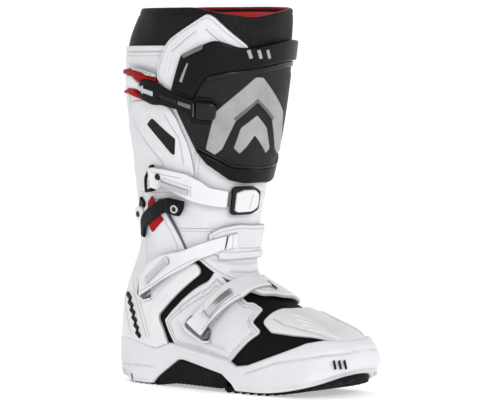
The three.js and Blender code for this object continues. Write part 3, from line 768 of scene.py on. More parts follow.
def blocks(chart, rows, look, name, body, slot, taper=0.72):
    """Small raised blocks: each row is (place, half length, half width, turn in degrees, low, high)."""
    place, scale = chart
    corners = np.array([[-1, -1], [1, -1], [1, 1], [-1, 1]], float)
    points, faces, uvs = [], [], []
    for k, (at, long, wide, turn, low, high) in enumerate(rows):
        c, s = math.cos(math.radians(turn)), math.sin(math.radians(turn))
        spin = np.array([[c, s], [-s, c]])
        flat = [corners * (long, wide), corners * (long, wide), corners * (long * taper, wide * taper)]
        flat = np.vstack([f @ spin for f in flat]) + np.array(at, float) * scale
        base = place(flat / scale)
        lift = np.repeat([low, low + (high - low) * 0.7, high], 4)
        points.append(base + normals(base) * lift[:, None])
        uvs.append(flat)
        n = k * 12
        for r in (0, 4):
            faces += [(n + r + i, n + r + (i + 1) % 4, n + r + 4 + (i + 1) % 4,
                       n + r + 4 + i) for i in range(4)]
        faces += [(n + 3, n + 2, n + 1, n), (n + 8, n + 9, n + 10, n + 11)]
    points = np.vstack(points)
    faces = outward(points, faces)
    return finish_piece(name, points, faces, look, body, slot, uv=np.vstack(uvs), sharp=30)


def bed(name, start, end, set_out, bottom, top, count, across, look, slot, nodes, rise=True, notch=None):
    """A sole plate; bottom and top are heights by x and y."""
    x = start + (end - start) * (1 - np.cos(np.pi * np.linspace(0.02, 0.98, count))) / 2
    origin = stack(x, toe_side(x), FEATHER_Z - 4)
    edge = [reach(origin, np.broadcast_to([0, h, 0], origin.shape), set_out)[:, 1] for h in (-1.0, 1.0)]
    t = (1 - np.cos(np.pi * np.linspace(0, 1, across))) / 2
    y = edge[0][:, None] + (edge[1] - edge[0])[:, None] * t
    if notch is not None:
        middle = y.mean(1, keepdims=True)
        y = middle + (y - middle) * notch(x)[:, None]
    gx = np.broadcast_to(x[:, None], y.shape)
    lift = spring(gx) if rise else 0 * gx
    skins = [stack(gx, y, level_of(v, np.stack([gx.ravel(), y.ravel()], 1)).reshape(gx.shape) + lift)
             for v in (top, bottom)]
    points, faces = grid_mesh(*skins, False)
    uv = points[:, :2].copy()
    return finish_piece(name, points, outward(points, faces), look, "foot", slot, nodes, uv, sharp=40)


def lugs(depth, pitch, slant, share=0.34):
    """The underside of a tread: bars across the sole with grooves between them."""

    def height(x, y):
        phase = ((x + slant * np.abs(y)) / pitch) % 1
        groove = ease((share - np.abs(phase - 0.5)) / 0.1)
        channel = ease((3.4 - np.abs(y - toe_side(x))) / 1.2)
        return depth * np.maximum(groove, channel)

    return height


FAN_PIVOT_X = 167


def sock(name, level, thickness, floor, sole, look, slot, nodes):
    """The upper or the bootie: sections that fan round the heel and step along to the toe."""
    turns = np.concatenate([np.linspace(0, 34, 26), np.linspace(36, 54, 20), np.linspace(57, 90, 18)])
    a = np.radians(turns)
    out = stack(-np.cos(a), 0, -np.sin(a))
    centres = np.array([FAN_PIVOT_X, 0, FOOT_TOP_Z]) + out * (80 + turns / 2)[:, None]
    x = FAN_PIVOT_X + (TOE_START + 38 - FAN_PIVOT_X) * np.linspace(0, 1, 56)[1:]
    centres = np.vstack([centres, stack(x, toe_side(x), 40 + spring(x) * 0.6)])
    ups = np.vstack([-out, np.broadcast_to([0.0, 0, 1], (len(x), 3))])
    around = np.linspace(0, 2 * np.pi, 128, endpoint=False)
    direction = ups[:, None] * np.cos(around)[None, :, None] + np.array([0, 1, 0]) * np.sin(around)[None,
                                                                                                    :, None]
    origin = np.broadcast_to(centres[:, None], direction.shape)
    skins = [reach(origin, direction, level, floor),
             reach(origin, direction, level - thickness, floor + sole)]
    rows, columns = direction.shape[:2]
    points, faces = grid_mesh(*skins, True)
    faces = [f for f in faces if not all(i % (rows * columns) >= (rows - 1) * columns for i in f)]
    for layer in (0, 1):
        first = layer * rows * columns + (rows - 1) * columns
        tip = points[first : first + columns].mean(0)
        tip = reach(tip[None], np.array([[1.0, 0, 0]]), level - layer * thickness)
        points = np.vstack([points, tip])
        for c in range(columns):
            face = (first + c, first + (c + 1) % columns, len(points) - 1)
            faces.append(face if layer == 0 else face[::-1])
    uv = np.stack([points[:, 0], points[:, 1] + points[:, 2]], 1)
    return finish_piece(name, points, outward(points, faces), look, "foot", slot, nodes, uv)


def cross_pin(name, chart, lines, t, ahead, lift, trim, body, nodes, look="steel"):
    """A round pin across the end of a strap or lever."""
    ends = [spot_on(chart, along(line, t), lift)[0] for line in lines]
    before = spot_on(chart, along(lines[0], abs(t - 0.1)), lift)[0]
    forward = ends[0] - before
    forward /= np.linalg.norm(forward)
    across = ends[1] - ends[0]
    length = np.linalg.norm(across) * trim
    middle = ends[0] + across / 2 + forward * ahead
    half = length / 2
    profile = [(0.9, -half), (1.3, -half + 0.4), (1.3, half - 0.4), (0.9, half)]
    points, faces, uv = turned(middle, across, profile, 24)
    return finish_piece(name, points, faces, looks[look], body, "steel", nodes, uv, sharp=40)


# ---------- Sole ----------
CAGE_LOW = [(-5, 6.5), (8, 4), (30, 2), (64, 2.5), (71, 9), (101, 29), (107, 30), (168, 19), (183, 9),
            (188, 3), (215, 3)]
CAGE_HIGH = [(0, 49), (30, 49), (70, 40), (90, 47), (174, 36), (188, 29), (204, 31), (238, 43), (270, 55),
             (290, 58)]
TREAD_Z = 7


def add_sole():
    bed("heel_tread_ribbed", 8, 74, -4.5, lugs(1.8, 9.5, 0.25), TREAD_Z, 110, 44, looks["rubber"], "rubber",
        ["heel_tread"], False)
    bed("forefoot_tread_ribbed", 167, 303, -1.6, lugs(1.8, 10.5, -0.3), TREAD_Z, 190, 52, looks["rubber"],
        "rubber",
        ["forefoot_tread"], notch=lambda x: np.sqrt(1 - 0.97 * np.clip((x - 256) / 47, 0, 1) ** 2.6))
    ribs = lambda x, y: 4 + 0.8 * ease(3 * np.abs(((x + 0.2 * np.abs(y)) / 6) % 1 - 0.5) - 0.4)
    bed("arch_rubber_plate", 75.5, 166, 2.4, ribs, TREAD_Z, 90, 30, looks["rubber"], "rubber",
        ["arch_rubber"])
    for hand, side in ((-1, "outer"), (1, "inner")):
        outline = [(74, 3.6), (74, 10.8), (101, 28.8), (107, 29.8), (168, 18.8), (174, 14.2), (174, 5)]
        outline = [(turn_of(x, hand), z, 1.5) for x, z in outline]
        teeth = [([(turn_of(x, hand), 6), (turn_of(x, hand), 13)], 0.9, -0.5) for x in range(84, 168, 6)]
        panel(f"arch_rubber_{side}", RIM_CHART, outline, 0.8, 3, looks["rubber"], "foot", "rubber",
              ["arch_rubber"], lines=teeth, grid=2.0)
    add_cage()
    for node, look in (("steel_shank", "steel"), ("midsole", "board"), ("footbed", "board")):
        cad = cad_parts[node]
        cad.data.materials.clear()
        cad.data.materials.append(looks[look])


def cage_tuck(x, rise):
    """How far the cage's lower edge curves in under the toe and the heel."""
    toe = 11 * ease((x - 262) / 46) * np.clip(1 - rise / 20, 0, 1) ** 2
    return toe + 4.5 * ease((40 - x) / 36) * np.clip(1 - rise / 15, 0, 1) ** 2


def add_cage():
    columns, rows = 520, 46
    turn = np.linspace(0, 1, columns, endpoint=False)
    feather = on_rim(stack(turn, FEATHER_Z))
    t = np.where(turn <= 0.5, turn, 1 - turn)
    x = feather[:, 0]
    straight = t < 0.5 - TOE_TURN
    low = curve(CAGE_LOW, np.where(straight, x, TOE_START)) + spring(x)
    high = curve(CAGE_HIGH, x)
    v = (1 - np.cos(np.pi * np.linspace(0, 1, rows))) / 2
    z = low + (high - low) * v[:, None]
    places = stack(np.broadcast_to(turn, z.shape), z)
    base = on_rim(places)
    normal = normals(base)
    gap = np.minimum(high - z, (z - low) * 1.6)
    level = 0.8 + 3.6 * np.sqrt(1 - (1 - np.clip(gap / 2.6, 0, 1)) ** 2)
    px = base[..., 0]
    # A groove round the heel, and one that runs forward from the arch and over the toe.
    toe_line = curve([(196, 19), (201, 22), (240, 35), (286, 43), (304, 46), (311, 55)], px)
    toe_groove = (1 - ease(np.abs(z - toe_line) / 1.4)) * ease((px - 198) / 6)
    level -= 1.3 * toe_groove + 2.2 * ease((px - 272) / 36)
    level += 0.7 * ease((z - toe_line) / 3) * ease((px - 205) / 20) * ease((high - z) / 3)
    heel_line = 19.5 + 0.02 * px
    heel_groove = (1 - ease(np.abs(z - heel_line) / 1.2)) * ease((72 - px) / 6)
    level -= 1.2 * heel_groove
    flute = np.cos(px * 2 * np.pi / 15) * ease((60 - px) / 20) * ease((heel_line - z) / 2)
    level -= 0.35 * ease(flute * 4)
    # A raised rail along the side, over the arch.
    rail = curve([(90, 43), (174, 32), (190, 24)], px) - z
    level += 0.8 * ease((3 - np.abs(rail)) / 2) * ease((px - 96) / 10) * ease((188 - px) / 10)
    level -= cage_tuck(px, z - low)
    outer = base + normal * level[..., None]
    inner = base + normal * (0.8 - cage_tuck(px, z - low))[..., None]
    points, faces = grid_mesh(outer, inner, True)
    # Painted shade: darker along the cage's upper and lower edges and in its heel and toe grooves.
    edge = 1 - ease(np.minimum(high - z, z - low) / 1.1)
    seam = np.maximum(0.75 * edge, 0.5 * np.maximum(toe_groove, heel_groove))
    shown = np.column_stack([places.reshape(-1, 2) * RIM_CHART[1], seam.ravel()])
    uv = np.vstack([shown, shown])
    finish_piece("sole_cage_moulded", points, outward(points, faces), looks["sole_plastic"], "foot",
                 "white_plastic", ["sole_cage"], uv)
    rows = []
    for hand in (-1, 1):
        for x in np.arange(196, 262, 3.1):
            rows.append(((turn_of(x, hand), 6.6 + spring(x)), 0.85, 1.9, 0, 2.2, 4.9))
    for t in np.arange(0.36, 0.6401, 0.0037):
        x = on_rim(np.array([[t, FEATHER_Z]]))[0, 0]
        tuck = cage_tuck(x, 3.6)
        rows.append(((t, 6.6 + spring(x)), 0.85, 1.9, 0, 2.2 - tuck, 4.9 - tuck))
    rows += [((hand * t, 4.6), 0.8, 1.9, 0, 2.2, 4.9) for hand in (-1, 1) for t in np.arange(0.084, 0.115,
                                                                                             0.0037)]
    blocks(RIM_CHART, rows, looks["sole_plastic"], "sole_teeth", "foot", "white_plastic")
    rows = [((t, 11.6), 0.6, 4.2, 0, 2.6, 4.6) for t in np.arange(-0.072, 0.0725, 0.004)]
    blocks(RIM_CHART, rows, looks["sole_plastic"], "heel_ribs", "foot", "white_plastic")
    rows = [((t, 7.4), 0.8, 3.2, 0, 3.0, 4.7) for t in (-0.079, 0.079)]
    blocks(RIM_CHART, rows, looks["black"], "heel_notch", "foot", "black_plastic")
    rows = [((t, 35), 1.5, 4.2, 16, 4.2, 5.6) for t in (0.43, 0.4385, 0.447)]
    blocks(RIM_CHART, rows, looks["black"], "toe_bars", "foot", "black_plastic", 0.9)


# ---------- Foot ----------
def at_back(a):
    """1 at the back of the leg, 0 from the sides forward."""
    return 1 - ease((np.abs(a + 180) - 15) / 60)


def instep_level(a, z):
    """The instep panel thins out under the ankle guard and towards its top edge."""
    return 3.1 - 2.8 * np.maximum(0.7 * ease((np.abs(a) - 44) / 12), ease((z - 150) / 12))


def add_foot():
    sock("foot_upper_sewn", -0.4, 2.7, 14, 1.8, looks["vamp"], "black_fabric", ["foot_upper"])
    sock("foot_liner_knitted", -3.9, 2, 16.6, 1.6, looks["lining"], "red_lining", ["foot_liner"])
    side = [(-60, 45), (-70, 60.6), (-78.5, 70.5), (-80, 75), (-73, 81.7), (-61, 94), (-48, 108.6),
            (-38.5, 120, 4), (-39.6, 125.6, 3), (-46, 132.6, 4)]
    top = [(-57, 130), (-90, 126), (-125, 116), (-180, 112)]
    bottom = [(-180, 46), (-128, 46), (-78, 39)]
    outline = bottom + side + top
    outline = outline[1:-1] + [(-180, 112)] + mirror_leg(outline)[1:-1] + [(-180, 46)]
    ridge = [(-97, 50), (-118, 78), (-134, 100), (-140, 111)]
    ridge_b = [(-92, 52), (-111, 78), (-126, 98), (-131, 112)]
    strip_edge = [(-128, 52), (-146, 78), (-158, 108)]
    counter_level = lambda a, z: 3.8 - 1.6 * at_back(a) * ease((z - 84) / 26)
    panel("heel_counter_moulded", LEG_CHART, outline, 0.8, counter_level, looks["plastic"], "foot",
          "white_plastic", ["heel_counter"], edge=2.6, corner=2.5,
          lines=[(ridge, 1.3, 0.8), (ridge_b, 1.1, 0.5), (strip_edge, 1.2, 0.7),
                 (mirror_leg(ridge), 1.3, 0.8), (mirror_leg(strip_edge), 1.2, 0.7)],
          plateaus=[([(-84, 76), (-70, 90), (-52, 112), (-60, 121), (-86, 100), (-100, 76)], 0.6, 3)])
    front = [(-52, 129), (-60, 147), (-85, 182), (-97, 198, 6)]
    top = [(-108, 197), (-122, 188), (-140, 176), (-180, 168)]
    bottom = [(-180, 106), (-125, 112), (-90, 124), (-62, 128)]
    outline = bottom + front + top
    outline = outline[1:-1] + [(-180, 168)] + mirror_leg(outline)[1:-1] + [(-180, 106)]
    fold = [(-64, 132), (-72, 152), (-92, 180)]
    guard_level = lambda a, z: 3.4 - 2.0 * at_back(a)
    panel("ankle_guard_sewn", LEG_CHART, outline, 0.6, guard_level, looks["leather"], "foot",
          "white_leather", ["ankle_guard"], edge=2.0, corner=2.5,
          lines=[(fold, 1.8, 0.7), ([(-112, 120), (-124, 150), (-128, 180)], 2.4, 0.6),
                 ([(-150, 116), (-152, 170)], 2.0, 0.6)],
          plateaus=[([(-74, 134), (-104, 124), (-113, 158), (-96, 172), (-84, 168)], 0.5, 4)])
    quarter = [(95, 17), (85.5, 33), (82, 39.5), (81.5, 41.5), (91, 48.5), (104, 55), (118, 60.5),
               (134, 66),
               (141, 72), (160, 70), (185, 60), (191, 62), (204, 58.7, 3), (203, 50, 4), (200.4, 42.6, 3),
               (212.3, 35.7, 3), (213, 31.7, 3), (201, 22.4), (187, 9), (178.6, 0), (175, -2), (150, 6),
               (120, 12)]
    for name, outline in (("outer_quarter", quarter), ("inner_quarter", mirror_foot(quarter))):
        panel(name + "_sewn", FOOT_CHART, outline, 0.8, 2.5, looks["leather"], "foot", "white_leather",
              [name],
              edge=1.6, corner=2.5, rims=[(3.0, 0.8, 0.8), (5.6, 0.7, 0.6)],
              lines=[([(100, 40), (128, 24), (170, 14)] if name[0] == "o" else [(100, 140), (128, 156),
                                                                                (170, 166)],
                      3.2, 0.8)])
    half = [(299, 46.5), (286, 40.6), (252, 35), (226, 34), (211.5, 43.5, 4), (214.5, 57.6), (218, 69),
            (223, 76.5), (225, 90)]
    cap = half + mirror_foot(half)[1:] + [(302, 112), (304, 90), (302, 68)]
    ribs = [[(234, 64), (262, 68)], [(243, 58), (271, 63)], [(252, 53), (280, 58)], [(262, 49), (289, 54)]]
    ribs += [[(x, 180 - a) for x, a in line] for line in ribs]
    cap_level = lambda x, a: 3.4 - 1.8 * ease((x - 232) / 50)
    crease = ([(222, 50), (236, 45), (292, 46)], 1.6, 1.0)
    panel("toe_cap_moulded", FOOT_CHART, cap, 0.6, cap_level, looks["plastic"], "foot", "white_plastic",
          ["toe_cap"], edge=2.4, corner=3, lines=[(r, 2.0, -1.5) for r in ribs] + [crease])
    edge = [(-84, 168, 2), (-76, 152), (-62, 141), (-52, 137), (-43, 134.7), (-29, 122.4), (-18, 113),
            (-13, 109)]
    outline = edge + [(0, 106.5)] + [(-t[0],) + t[1:] for t in reversed(edge)]
    folds = [([(-48, 150), (-24, 145), (0, 143), (24, 145), (48, 150)], 2.6, 1.5),
             ([(-30, 135), (-14, 131), (0, 130), (14, 131), (30, 135)], 2.4, 1.4),
             ([(-16, 122), (0, 120), (16, 122)], 2.0, 1.2)]
    panel("instep_panel_sewn", LEG_CHART, outline, -0.5, instep_level,
          looks["fine_leather"], "foot", "white_leather", ["instep_panel"], edge=1.6, corner=3, lines=folds,
          rims=[(3.2, 0.8, 0.7)])
    # A thin dark grey strip along the ankle guard's front edge: painted shade where the guard overlaps the
    # instep.
    seam = [(-51.5, 129), (-58.5, 147), (-83.5, 182.5), (-95.5, 199)]
    seam = seam + [(-97.5, 198), (-85.5, 181.5), (-60.5, 146.5), (-53, 128.5)]
    panel("guard_edge_painted_shade_strip", LEG_CHART, seam, 0.8, 2.9, looks["seam"], "foot", "charcoal_plastic",
          edge=0.5, corner=0.5, grid=1.4)
    rows = []
    for i in range(6):
        t = i / 5
        rows.append(((-113 - 27 * t, 53 + 39 * t), 6.2, 2.0, -24, 3.4, 5.8))
    blocks(LEG_CHART, rows, looks["black"], "heel_bars", "foot", "black_plastic", 0.88)
    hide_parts("heel_badge")
    insert = [(-104, 202), (-110.5, 195.5), (-112, 188), (-113, 168), (-109, 163), (-90, 176.6), (-95, 183),
              (-100.5, 196)]
    panel("brace_insert_moulded", LEG_CHART, insert, 3.6, 5.0, looks["red"], "foot", "red_plastic",
          ["brace_insert"], edge=0.9, corner=1.5, grid=1.4)
    button = turned(*spot_on(LEG_CHART, (-102, 173.7), 3.8),
                    [(2.6, 0), (2.6, 0.6), (2.1, 1.0), (1.4, 1.1)], 24)
    finish_piece("insert_button", *button[:2], looks["plastic"], "foot", "white_plastic", uv=button[2])
    heights = np.linspace(FOOT_TOP_Z + 0.3, LEG_BOTTOM_Z - 0.3, 54)
    fade = lambda a: ease((150 - np.abs(a)) / 60)
    ripple = lambda a, z: -0.55 + 0.3 * np.cos((z - 160) * 2 * np.pi / 14 + a * 0.03) * fade(a)
    bellows = tube("flex_bellows_folded", heights, 200, ripple, -2.9, looks["fine_leather"], None,
                   "white_leather", ["flex_bellows"])
    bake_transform(bellows)


# ---------- Leg ----------
def add_leg():
    heights = np.concatenate([np.linspace(205, 335, 84), np.linspace(336, 352, 34)])
    warp = lambda a, z: (collar_seam(a) - 352) * ease((z - 312) / 40)
    seam = curve_line([(231, -87), (236, -90), (255, -107), (272, -120), (285, -127), (322, -134)])

    def shell(a, z):
        level = np.full(a.shape, -0.4)
        level -= 0.9 * np.exp(-(((z - 346) / 0.55) ** 2)) + 0.7 * np.exp(-(((z - 342.5) / 0.5) ** 2))
        level += 0.9 * ease((z - 346.5) / 1.2) * ease((352.2 - z) / 1.2)
        step = (a - seam(z)) * 1.25
        level += (0.9 * ease((-step) / 1.6) * ease((z - 231) / 3) * ease((322 - z) / 8)
                  * (a < 0) * ease((step + 60) / 40))
        back = np.abs(np.abs(a) - 180)
        level -= 0.7 * np.exp(-(((back - 9) / 1.1) ** 2))
        fold = np.exp(-(((z - 331 + 0.10 * (a + 110)) / 2.4) ** 2))
        fold = fold * ease((a + 150) / 20) * ease((-88 - a) / 10)
        level -= 1.1 * fold
        crease = np.sin(z * 0.21 + a * 0.035) * np.sin(z * 0.07 - a * 0.05)
        return level + 0.35 * crease * ease((z - 205) / 20) * ease((345 - z) / 20)

    # Painted shade: darker along the two grooves under the collar, the side seam's step and the back
    # grooves, where shade falls.
    def shell_seams(a, z):
        lines = np.exp(-(((z - 346) / 0.6) ** 2)) + 0.6 * np.exp(-(((z - 342.5) / 0.5) ** 2))
        side = np.exp(-(((a - seam(z)) / 0.7) ** 2)) * ease((z - 231) / 3) * ease((322 - z) / 8)
        back = np.exp(-(((np.abs(np.abs(a) - 180) - 9) / 0.8) ** 2))
        return np.clip(lines + 0.7 * side + 0.7 * back, 0, 1) * 0.8

    tube("leg_shell_sewn", heights, 420, shell, -3.1, looks["leather"], "leg", "white_leather",
         ["leg_shell"], warp,
         shell_seams)
    stitches("leg_seam_stitches", "leg", "white_leather",
             (LEG_CHART, [(-57, 207), (-56, 228), (-56, 252)], -0.1),
             (LEG_CHART, [(-53.5, 207), (-52.5, 228), (-52.5, 248)], -0.1))
    tube("leg_liner_knitted", np.linspace(206, 392, 60), 200, -4.6, -6.6, looks["lining"], "leg",
         "red_lining",
         ["leg_liner"])
    add_collar()
    peak = [(-55, 391, 9), (-81, 364, 12), (-85, 355, 8), (-91, 334, 6), (-91, 323, 5), (-78, 310, 5),
            (-66, 306),
            (-50, 318), (-40, 330), (-20, 342), (-21, 357), (-33, 369.5), (-49, 387.5, 9)]
    panel("peak_panel_sewn", LEG_CHART, peak, 1.2, 3.9, looks["fine_leather"], "leg", "white_leather",
          ["peak_panel"], edge=2.2, corner=5, rims=[(3.4, 0.7, 0.6)],
          lines=[([(-76, 352), (-60, 372)], 0.9, 0.5), ([(-52, 374), (-38, 358)], 0.9, 0.5)])
    stitches("peak_stitches", "leg", "white_leather",
             (LEG_CHART, [(-82, 330), (-80, 345), (-76, 357), (-58, 379)], 3.75),
             (LEG_CHART, [(-78, 330), (-76, 344), (-72, 355), (-57, 372)], 3.75),
             (LEG_CHART, [(-53, 379), (-38, 363), (-27, 354)], 3.75),
             (LEG_CHART, [(-54, 373), (-41, 359), (-30, 350)], 3.75))
    calf = [(-127, 300, 5), (-126, 286), (-119, 272), (-106, 255), (-90, 238), (-87, 232), (-87, 222),
            (-55, 222),
            (-57, 234), (-61, 253), (-72, 282), (-78, 293), (-92, 303)]
    vent_frame = [(-102, 286), (-71, 263), (-72, 242), (-76, 241), (-108, 277)]
    panel("calf_panel_sewn", LEG_CHART, calf, 0.4, 2.0, looks["leather"], "leg", "white_leather",
          ["calf_panel"],
          edge=1.8, corner=4, plateaus=[(vent_frame, 0.9, 1.6)],
          lines=[([(-66, 236), (-70, 262), (-84, 286)], 1.1, 0.4)])
    vent = [(-98, 283, 2), (-73, 262, 2), (-74, 245, 2), (-77, 245.5, 2), (-104, 276.5, 2)]
    panel("calf_vent_mesh", LEG_CHART, vent, 2.2, 3.6, looks["vent"], "leg", "rubber", ["calf_vent"],
          edge=0.8, corner=1.5, grid=1.8)
    guard = [(74, 322), (100, 330), (131, 320), (132, 242), (120, 224), (84, 229), (72, 262)]
    ridges = [([(80, z), (126, z - 3)], 1.6, 0.8) for z in range(246, 318, 12)]
    panel("inner_calf_guard_moulded", LEG_CHART, guard, 0.8, 3, looks["rubber"], "leg", "rubber",
          ["inner_calf_guard"], edge=2, corner=8, lines=ridges)


def curve_line(table):
    """A function that gives the second number of a line of pairs by the first."""
    return lambda t: curve(table, t)


COLLAR_TOP = [(-180, 397), (-64, 397), (-48, 391.4), (-30, 390.2), (-15, 390.4), (0, 392), (15, 394),
              (40, 398),
              (80, 399.5), (140, 399.5), (180, 397)]


SEAM_Z, SEAM_RISE = 352, 6


def collar_seam(a):
    """The height of the seam between shell and collar: higher at the back than in front."""
    return SEAM_Z + SEAM_RISE * ease((np.abs(a) - 25) / 55)


RIM_DIP, RIM_DIP_ANGLE, RIM_DIP_SPREAD = 3.2, -18, 20


def collar_rim(a):
    """The rim's height: the table's line, softened, with a dip in front of the peak."""
    rim = sum(curve(COLLAR_TOP, np.clip(a + d, -180, 180)) for d in (-8, -4, 0, 4, 8)) / 5
    return rim - RIM_DIP * np.exp(-(((a - RIM_DIP_ANGLE) / RIM_DIP_SPREAD) ** 2))


def add_collar():
    """The soft padded collar: it bulges between its seams, rolls over at the rim and sags a little."""
    columns, rows, roll_rows, roll = 320, 34, 9, 2.5
    angles = np.linspace(-180, 180, columns, endpoint=False)
    s = np.concatenate([np.linspace(0, 1, rows), np.ones(roll_rows - 1)])
    turn = np.concatenate([np.zeros(rows), np.linspace(0, np.pi / 2, roll_rows)[1:]])
    a, s = np.meshgrid(angles, s)
    turn = np.broadcast_to(turn[:, None], s.shape)
    low, high = collar_seam(a) + 0.4, collar_rim(a) - roll
    z = low + (high - low) * s + roll * np.sin(turn)
    base = on_leg(stack(a, z))
    normal = normals(base)
    back = ease((np.abs(a) - 70) / 50)
    bulge = 1.5 * np.sin(np.pi * np.clip(s * 0.94, 0, 1)) ** 0.7 * (1 - 0.9 * back) - (2.6 - 1.4 * s) * back
    fold = 2.0 * np.exp(-((((a + 14) + 26 * (1 - s)) / 9) ** 2)) * s
    crease = 0.8 * np.sin(a * 0.19 + 3 * s) * np.sin(a * 0.053 + 1.7) * np.sin(np.pi * s)
    hem = 0.8 * np.exp(-(((z - high + 3.4) / 0.8) ** 2))
    outer = 0.3 + bulge - fold + crease * (1 - 0.6 * back) - hem
    half = 0.48 * (outer + 4.4) * (1 - np.cos(turn))
    inner = -4.4 + half
    outer = outer - half
    skins = [base + normal * level[..., None] for level in (outer, inner)]
    points, faces = grid_mesh(*skins, True)
    uv = np.vstack([stack(a, z).reshape(-1, 2) * LEG_CHART[1]] * 2)
    collar = finish_piece("soft_collar_padded", points, outward(points, faces), looks["collar"], "leg",
                          "black_fabric", ["soft_collar"], uv)
    # A red piping along the rim's inner edge.
    count = 300
    angles = np.linspace(-180, 180, count, endpoint=False)
    places = stack(angles, collar_rim(angles) - 1.0)
    base = on_leg(places)
    normal = normals(base)
    turn = np.linspace(0, 2 * np.pi, 10, endpoint=False)
    level_part = np.cos(turn)[None, :, None] * normal[:, None] * 1.5
    upright_part = np.sin(turn)[None, :, None] * np.array([0, 0, 1.5])
    ring = (base - normal * 3.4)[:, None] + (level_part + upright_part)
    faces = []
    for i in range(count):
        for k in range(10):
            j, m = (i + 1) % count, (k + 1) % 10
            faces.append((i * 10 + k, i * 10 + m, j * 10 + m, j * 10 + k))
    points = ring.reshape(-1, 3)
    uv = np.repeat(places * LEG_CHART[1], 10, axis=0)
    finish_piece("collar_piping", points, outward(points, faces), looks["lining"], "leg", "red_lining",
                 uv=uv)


# ---------- Shin flap ----------
def add_shin():
    left = [(-71, 300), (-72, 292, 2), (-56, 252, 2), (-48, 238.5), (-25, 220), (-16, 217), (16, 216.5),
            (25, 219)]
    right = [(47, 238), (57, 258), (64, 296), (62, 340), (-50, 340), (-60, 312)]
    field = [(-33, 332), (36, 332), (40, 262), (12, 232), (-20, 234), (-46, 258), (-52, 286), (-40, 318)]
    panel("shin_plate_moulded", LEG_CHART, left + right, 1.2, 4.0, looks["charcoal"], "shin_flap",
          "charcoal_plastic", ["shin_plate"], edge=1.6, corner=3, plateaus=[(field, 0.9, 3.2)],
          lines=[([(-47, 246), (-26, 230), (0, 225.5), (26, 230), (45, 244)], 1.3, 0.8)])
    top = [(-75, 310, 1), (-67, 349, 2), (-53, 359, 3), (-47, 363, 3), (-42, 363, 3), (-29, 356.5, 5),
           (-22, 356, 5), (3, 362), (15, 365), (62, 364)]
    bottom = [(62, 345), (15, 343), (-16, 336), (-34, 332), (-46, 328, 2), (-50, 322, 2), (-57, 303, 1)]
    outline = top + bottom
    groove = [(-59, 307), (-70, 313), (-63, 346), (-50, 355)]
    panel("shin_frame_moulded", LEG_CHART, outline, 4.6, 8.4, looks["black"], "shin_flap", "black_plastic",
          ["shin_frame"], edge=1.4, corner=2, lines=[(groove, 0.8, 0.9)],
          plateaus=[([(-65, 312), (-60, 345), (-49, 352), (-41, 356), (-36, 340), (-46, 333), (-55, 313)],
                     0.5, 1.5)])
    slit = [(-61.2, 341.5), (-60.4, 340), (-64.6, 320.5), (-66.8, 322)]
    panel("frame_slit", LEG_CHART, slit, 8.5, 9.3, looks["silver"], "shin_flap", "steel", edge=0.4,
          corner=0.5,
          grid=1.2)
    wedge = [(-64.5, 345.5), (-52, 354.5), (-51.5, 359), (-53, 359.3), (-66, 349.5)]
    panel("frame_wedge", LEG_CHART, wedge, 7.6, 8.7, looks["dark_silver"], "shin_flap", "charcoal_plastic",
          edge=0.5, corner=0.6, grid=1.4)
    rows = [((a, 350), 1.5, 4.6, 20, 8.2, 9.0) for a in (-22, -15, -8)]
    blocks(LEG_CHART, rows, looks["silver"], "frame_bars", "shin_flap", "steel", 0.9)
    strip_top = [(-48, 327), (-34, 331), (-16, 335), (15, 342), (60, 344)]
    strip_low = [(-50, 321), (-34, 325.5), (-16, 329), (15, 336), (60, 339)]
    panel("frame_shadow_strip", LEG_CHART, strip(strip_low, strip_top), 3.6, 5.6, looks["gloss_black"],
          "shin_flap", "black_plastic", edge=0.8, corner=1, grid=1.8)
    edge_right = [(58, 256), (66, 296), (63, 343), (60, 343), (62, 296), (53, 258)]
    panel("shin_plate_rail", LEG_CHART, edge_right, 3.4, 6.6, looks["gloss_black"], "shin_flap",
          "black_plastic",
          edge=1.2, corner=1.2, grid=1.8)
    low = [(-54, 249), (-46, 236.5), (-27, 219.5), (-14, 216), (14, 216), (27, 219.5), (44, 236)]
    high = [(-55, 252.5), (-45, 246), (-26, 233.5), (0, 230.5), (26, 233.5), (44, 245)]
    bumper_level = lambda a, z: 7.4 - 2.8 * ease((a - 8) / 34)
    panel("shin_bumper_moulded", LEG_CHART, strip(low, high), 4.0, bumper_level, looks["black"],
          "shin_flap",
          "black_plastic", ["shin_bumper"], edge=2.4, corner=2)
    lip_low = [(-54, 252), (-45, 245.5), (-26, 233), (0, 230), (26, 233), (43, 243.5)]
    lip_high = [(-52, 255), (-44, 248.5), (-26, 236), (0, 233), (26, 236), (42, 247)]
    panel("shin_bumper_lip", LEG_CHART, strip(lip_low, lip_high), 3.8, 5.4, looks["gloss_black"],
          "shin_flap",
          "black_plastic", edge=0.8, corner=1, grid=1.8)
    # Two nested chevrons of brushed facets: a plain pattern in place of a mark.
    first = [(-40, 246), (-35, 252), (-27, 281), (-12, 300), (5, 281), (14, 252), (20, 246),
             (27, 250), (19, 290), (-9, 326), (-15, 326), (-42, 290), (-47, 252)]
    second = [(-22, 247), (-17, 254), (-11, 266), (-2, 254), (3, 247), (7, 252), (0, 274), (-11, 287),
              (-23, 274),
              (-27, 253)]
    panel("shin_chevron_facets", LEG_CHART, first, 4.6, 5.9, looks["silver"], "shin_flap", "steel",
          ["shin_chevron"], more=[second], edge=0.8, corner=1.6, grid=2.2)
    foot_line = [(-27, 281), (-12, 300), (5, 281), (7, 284), (-12, 304), (-29, 284)]
    panel("shin_chevron_edge", LEG_CHART, foot_line, 5.4, 6.4, looks["dark_silver"], "shin_flap", "steel",
          edge=0.5, corner=0.6, grid=1.6)


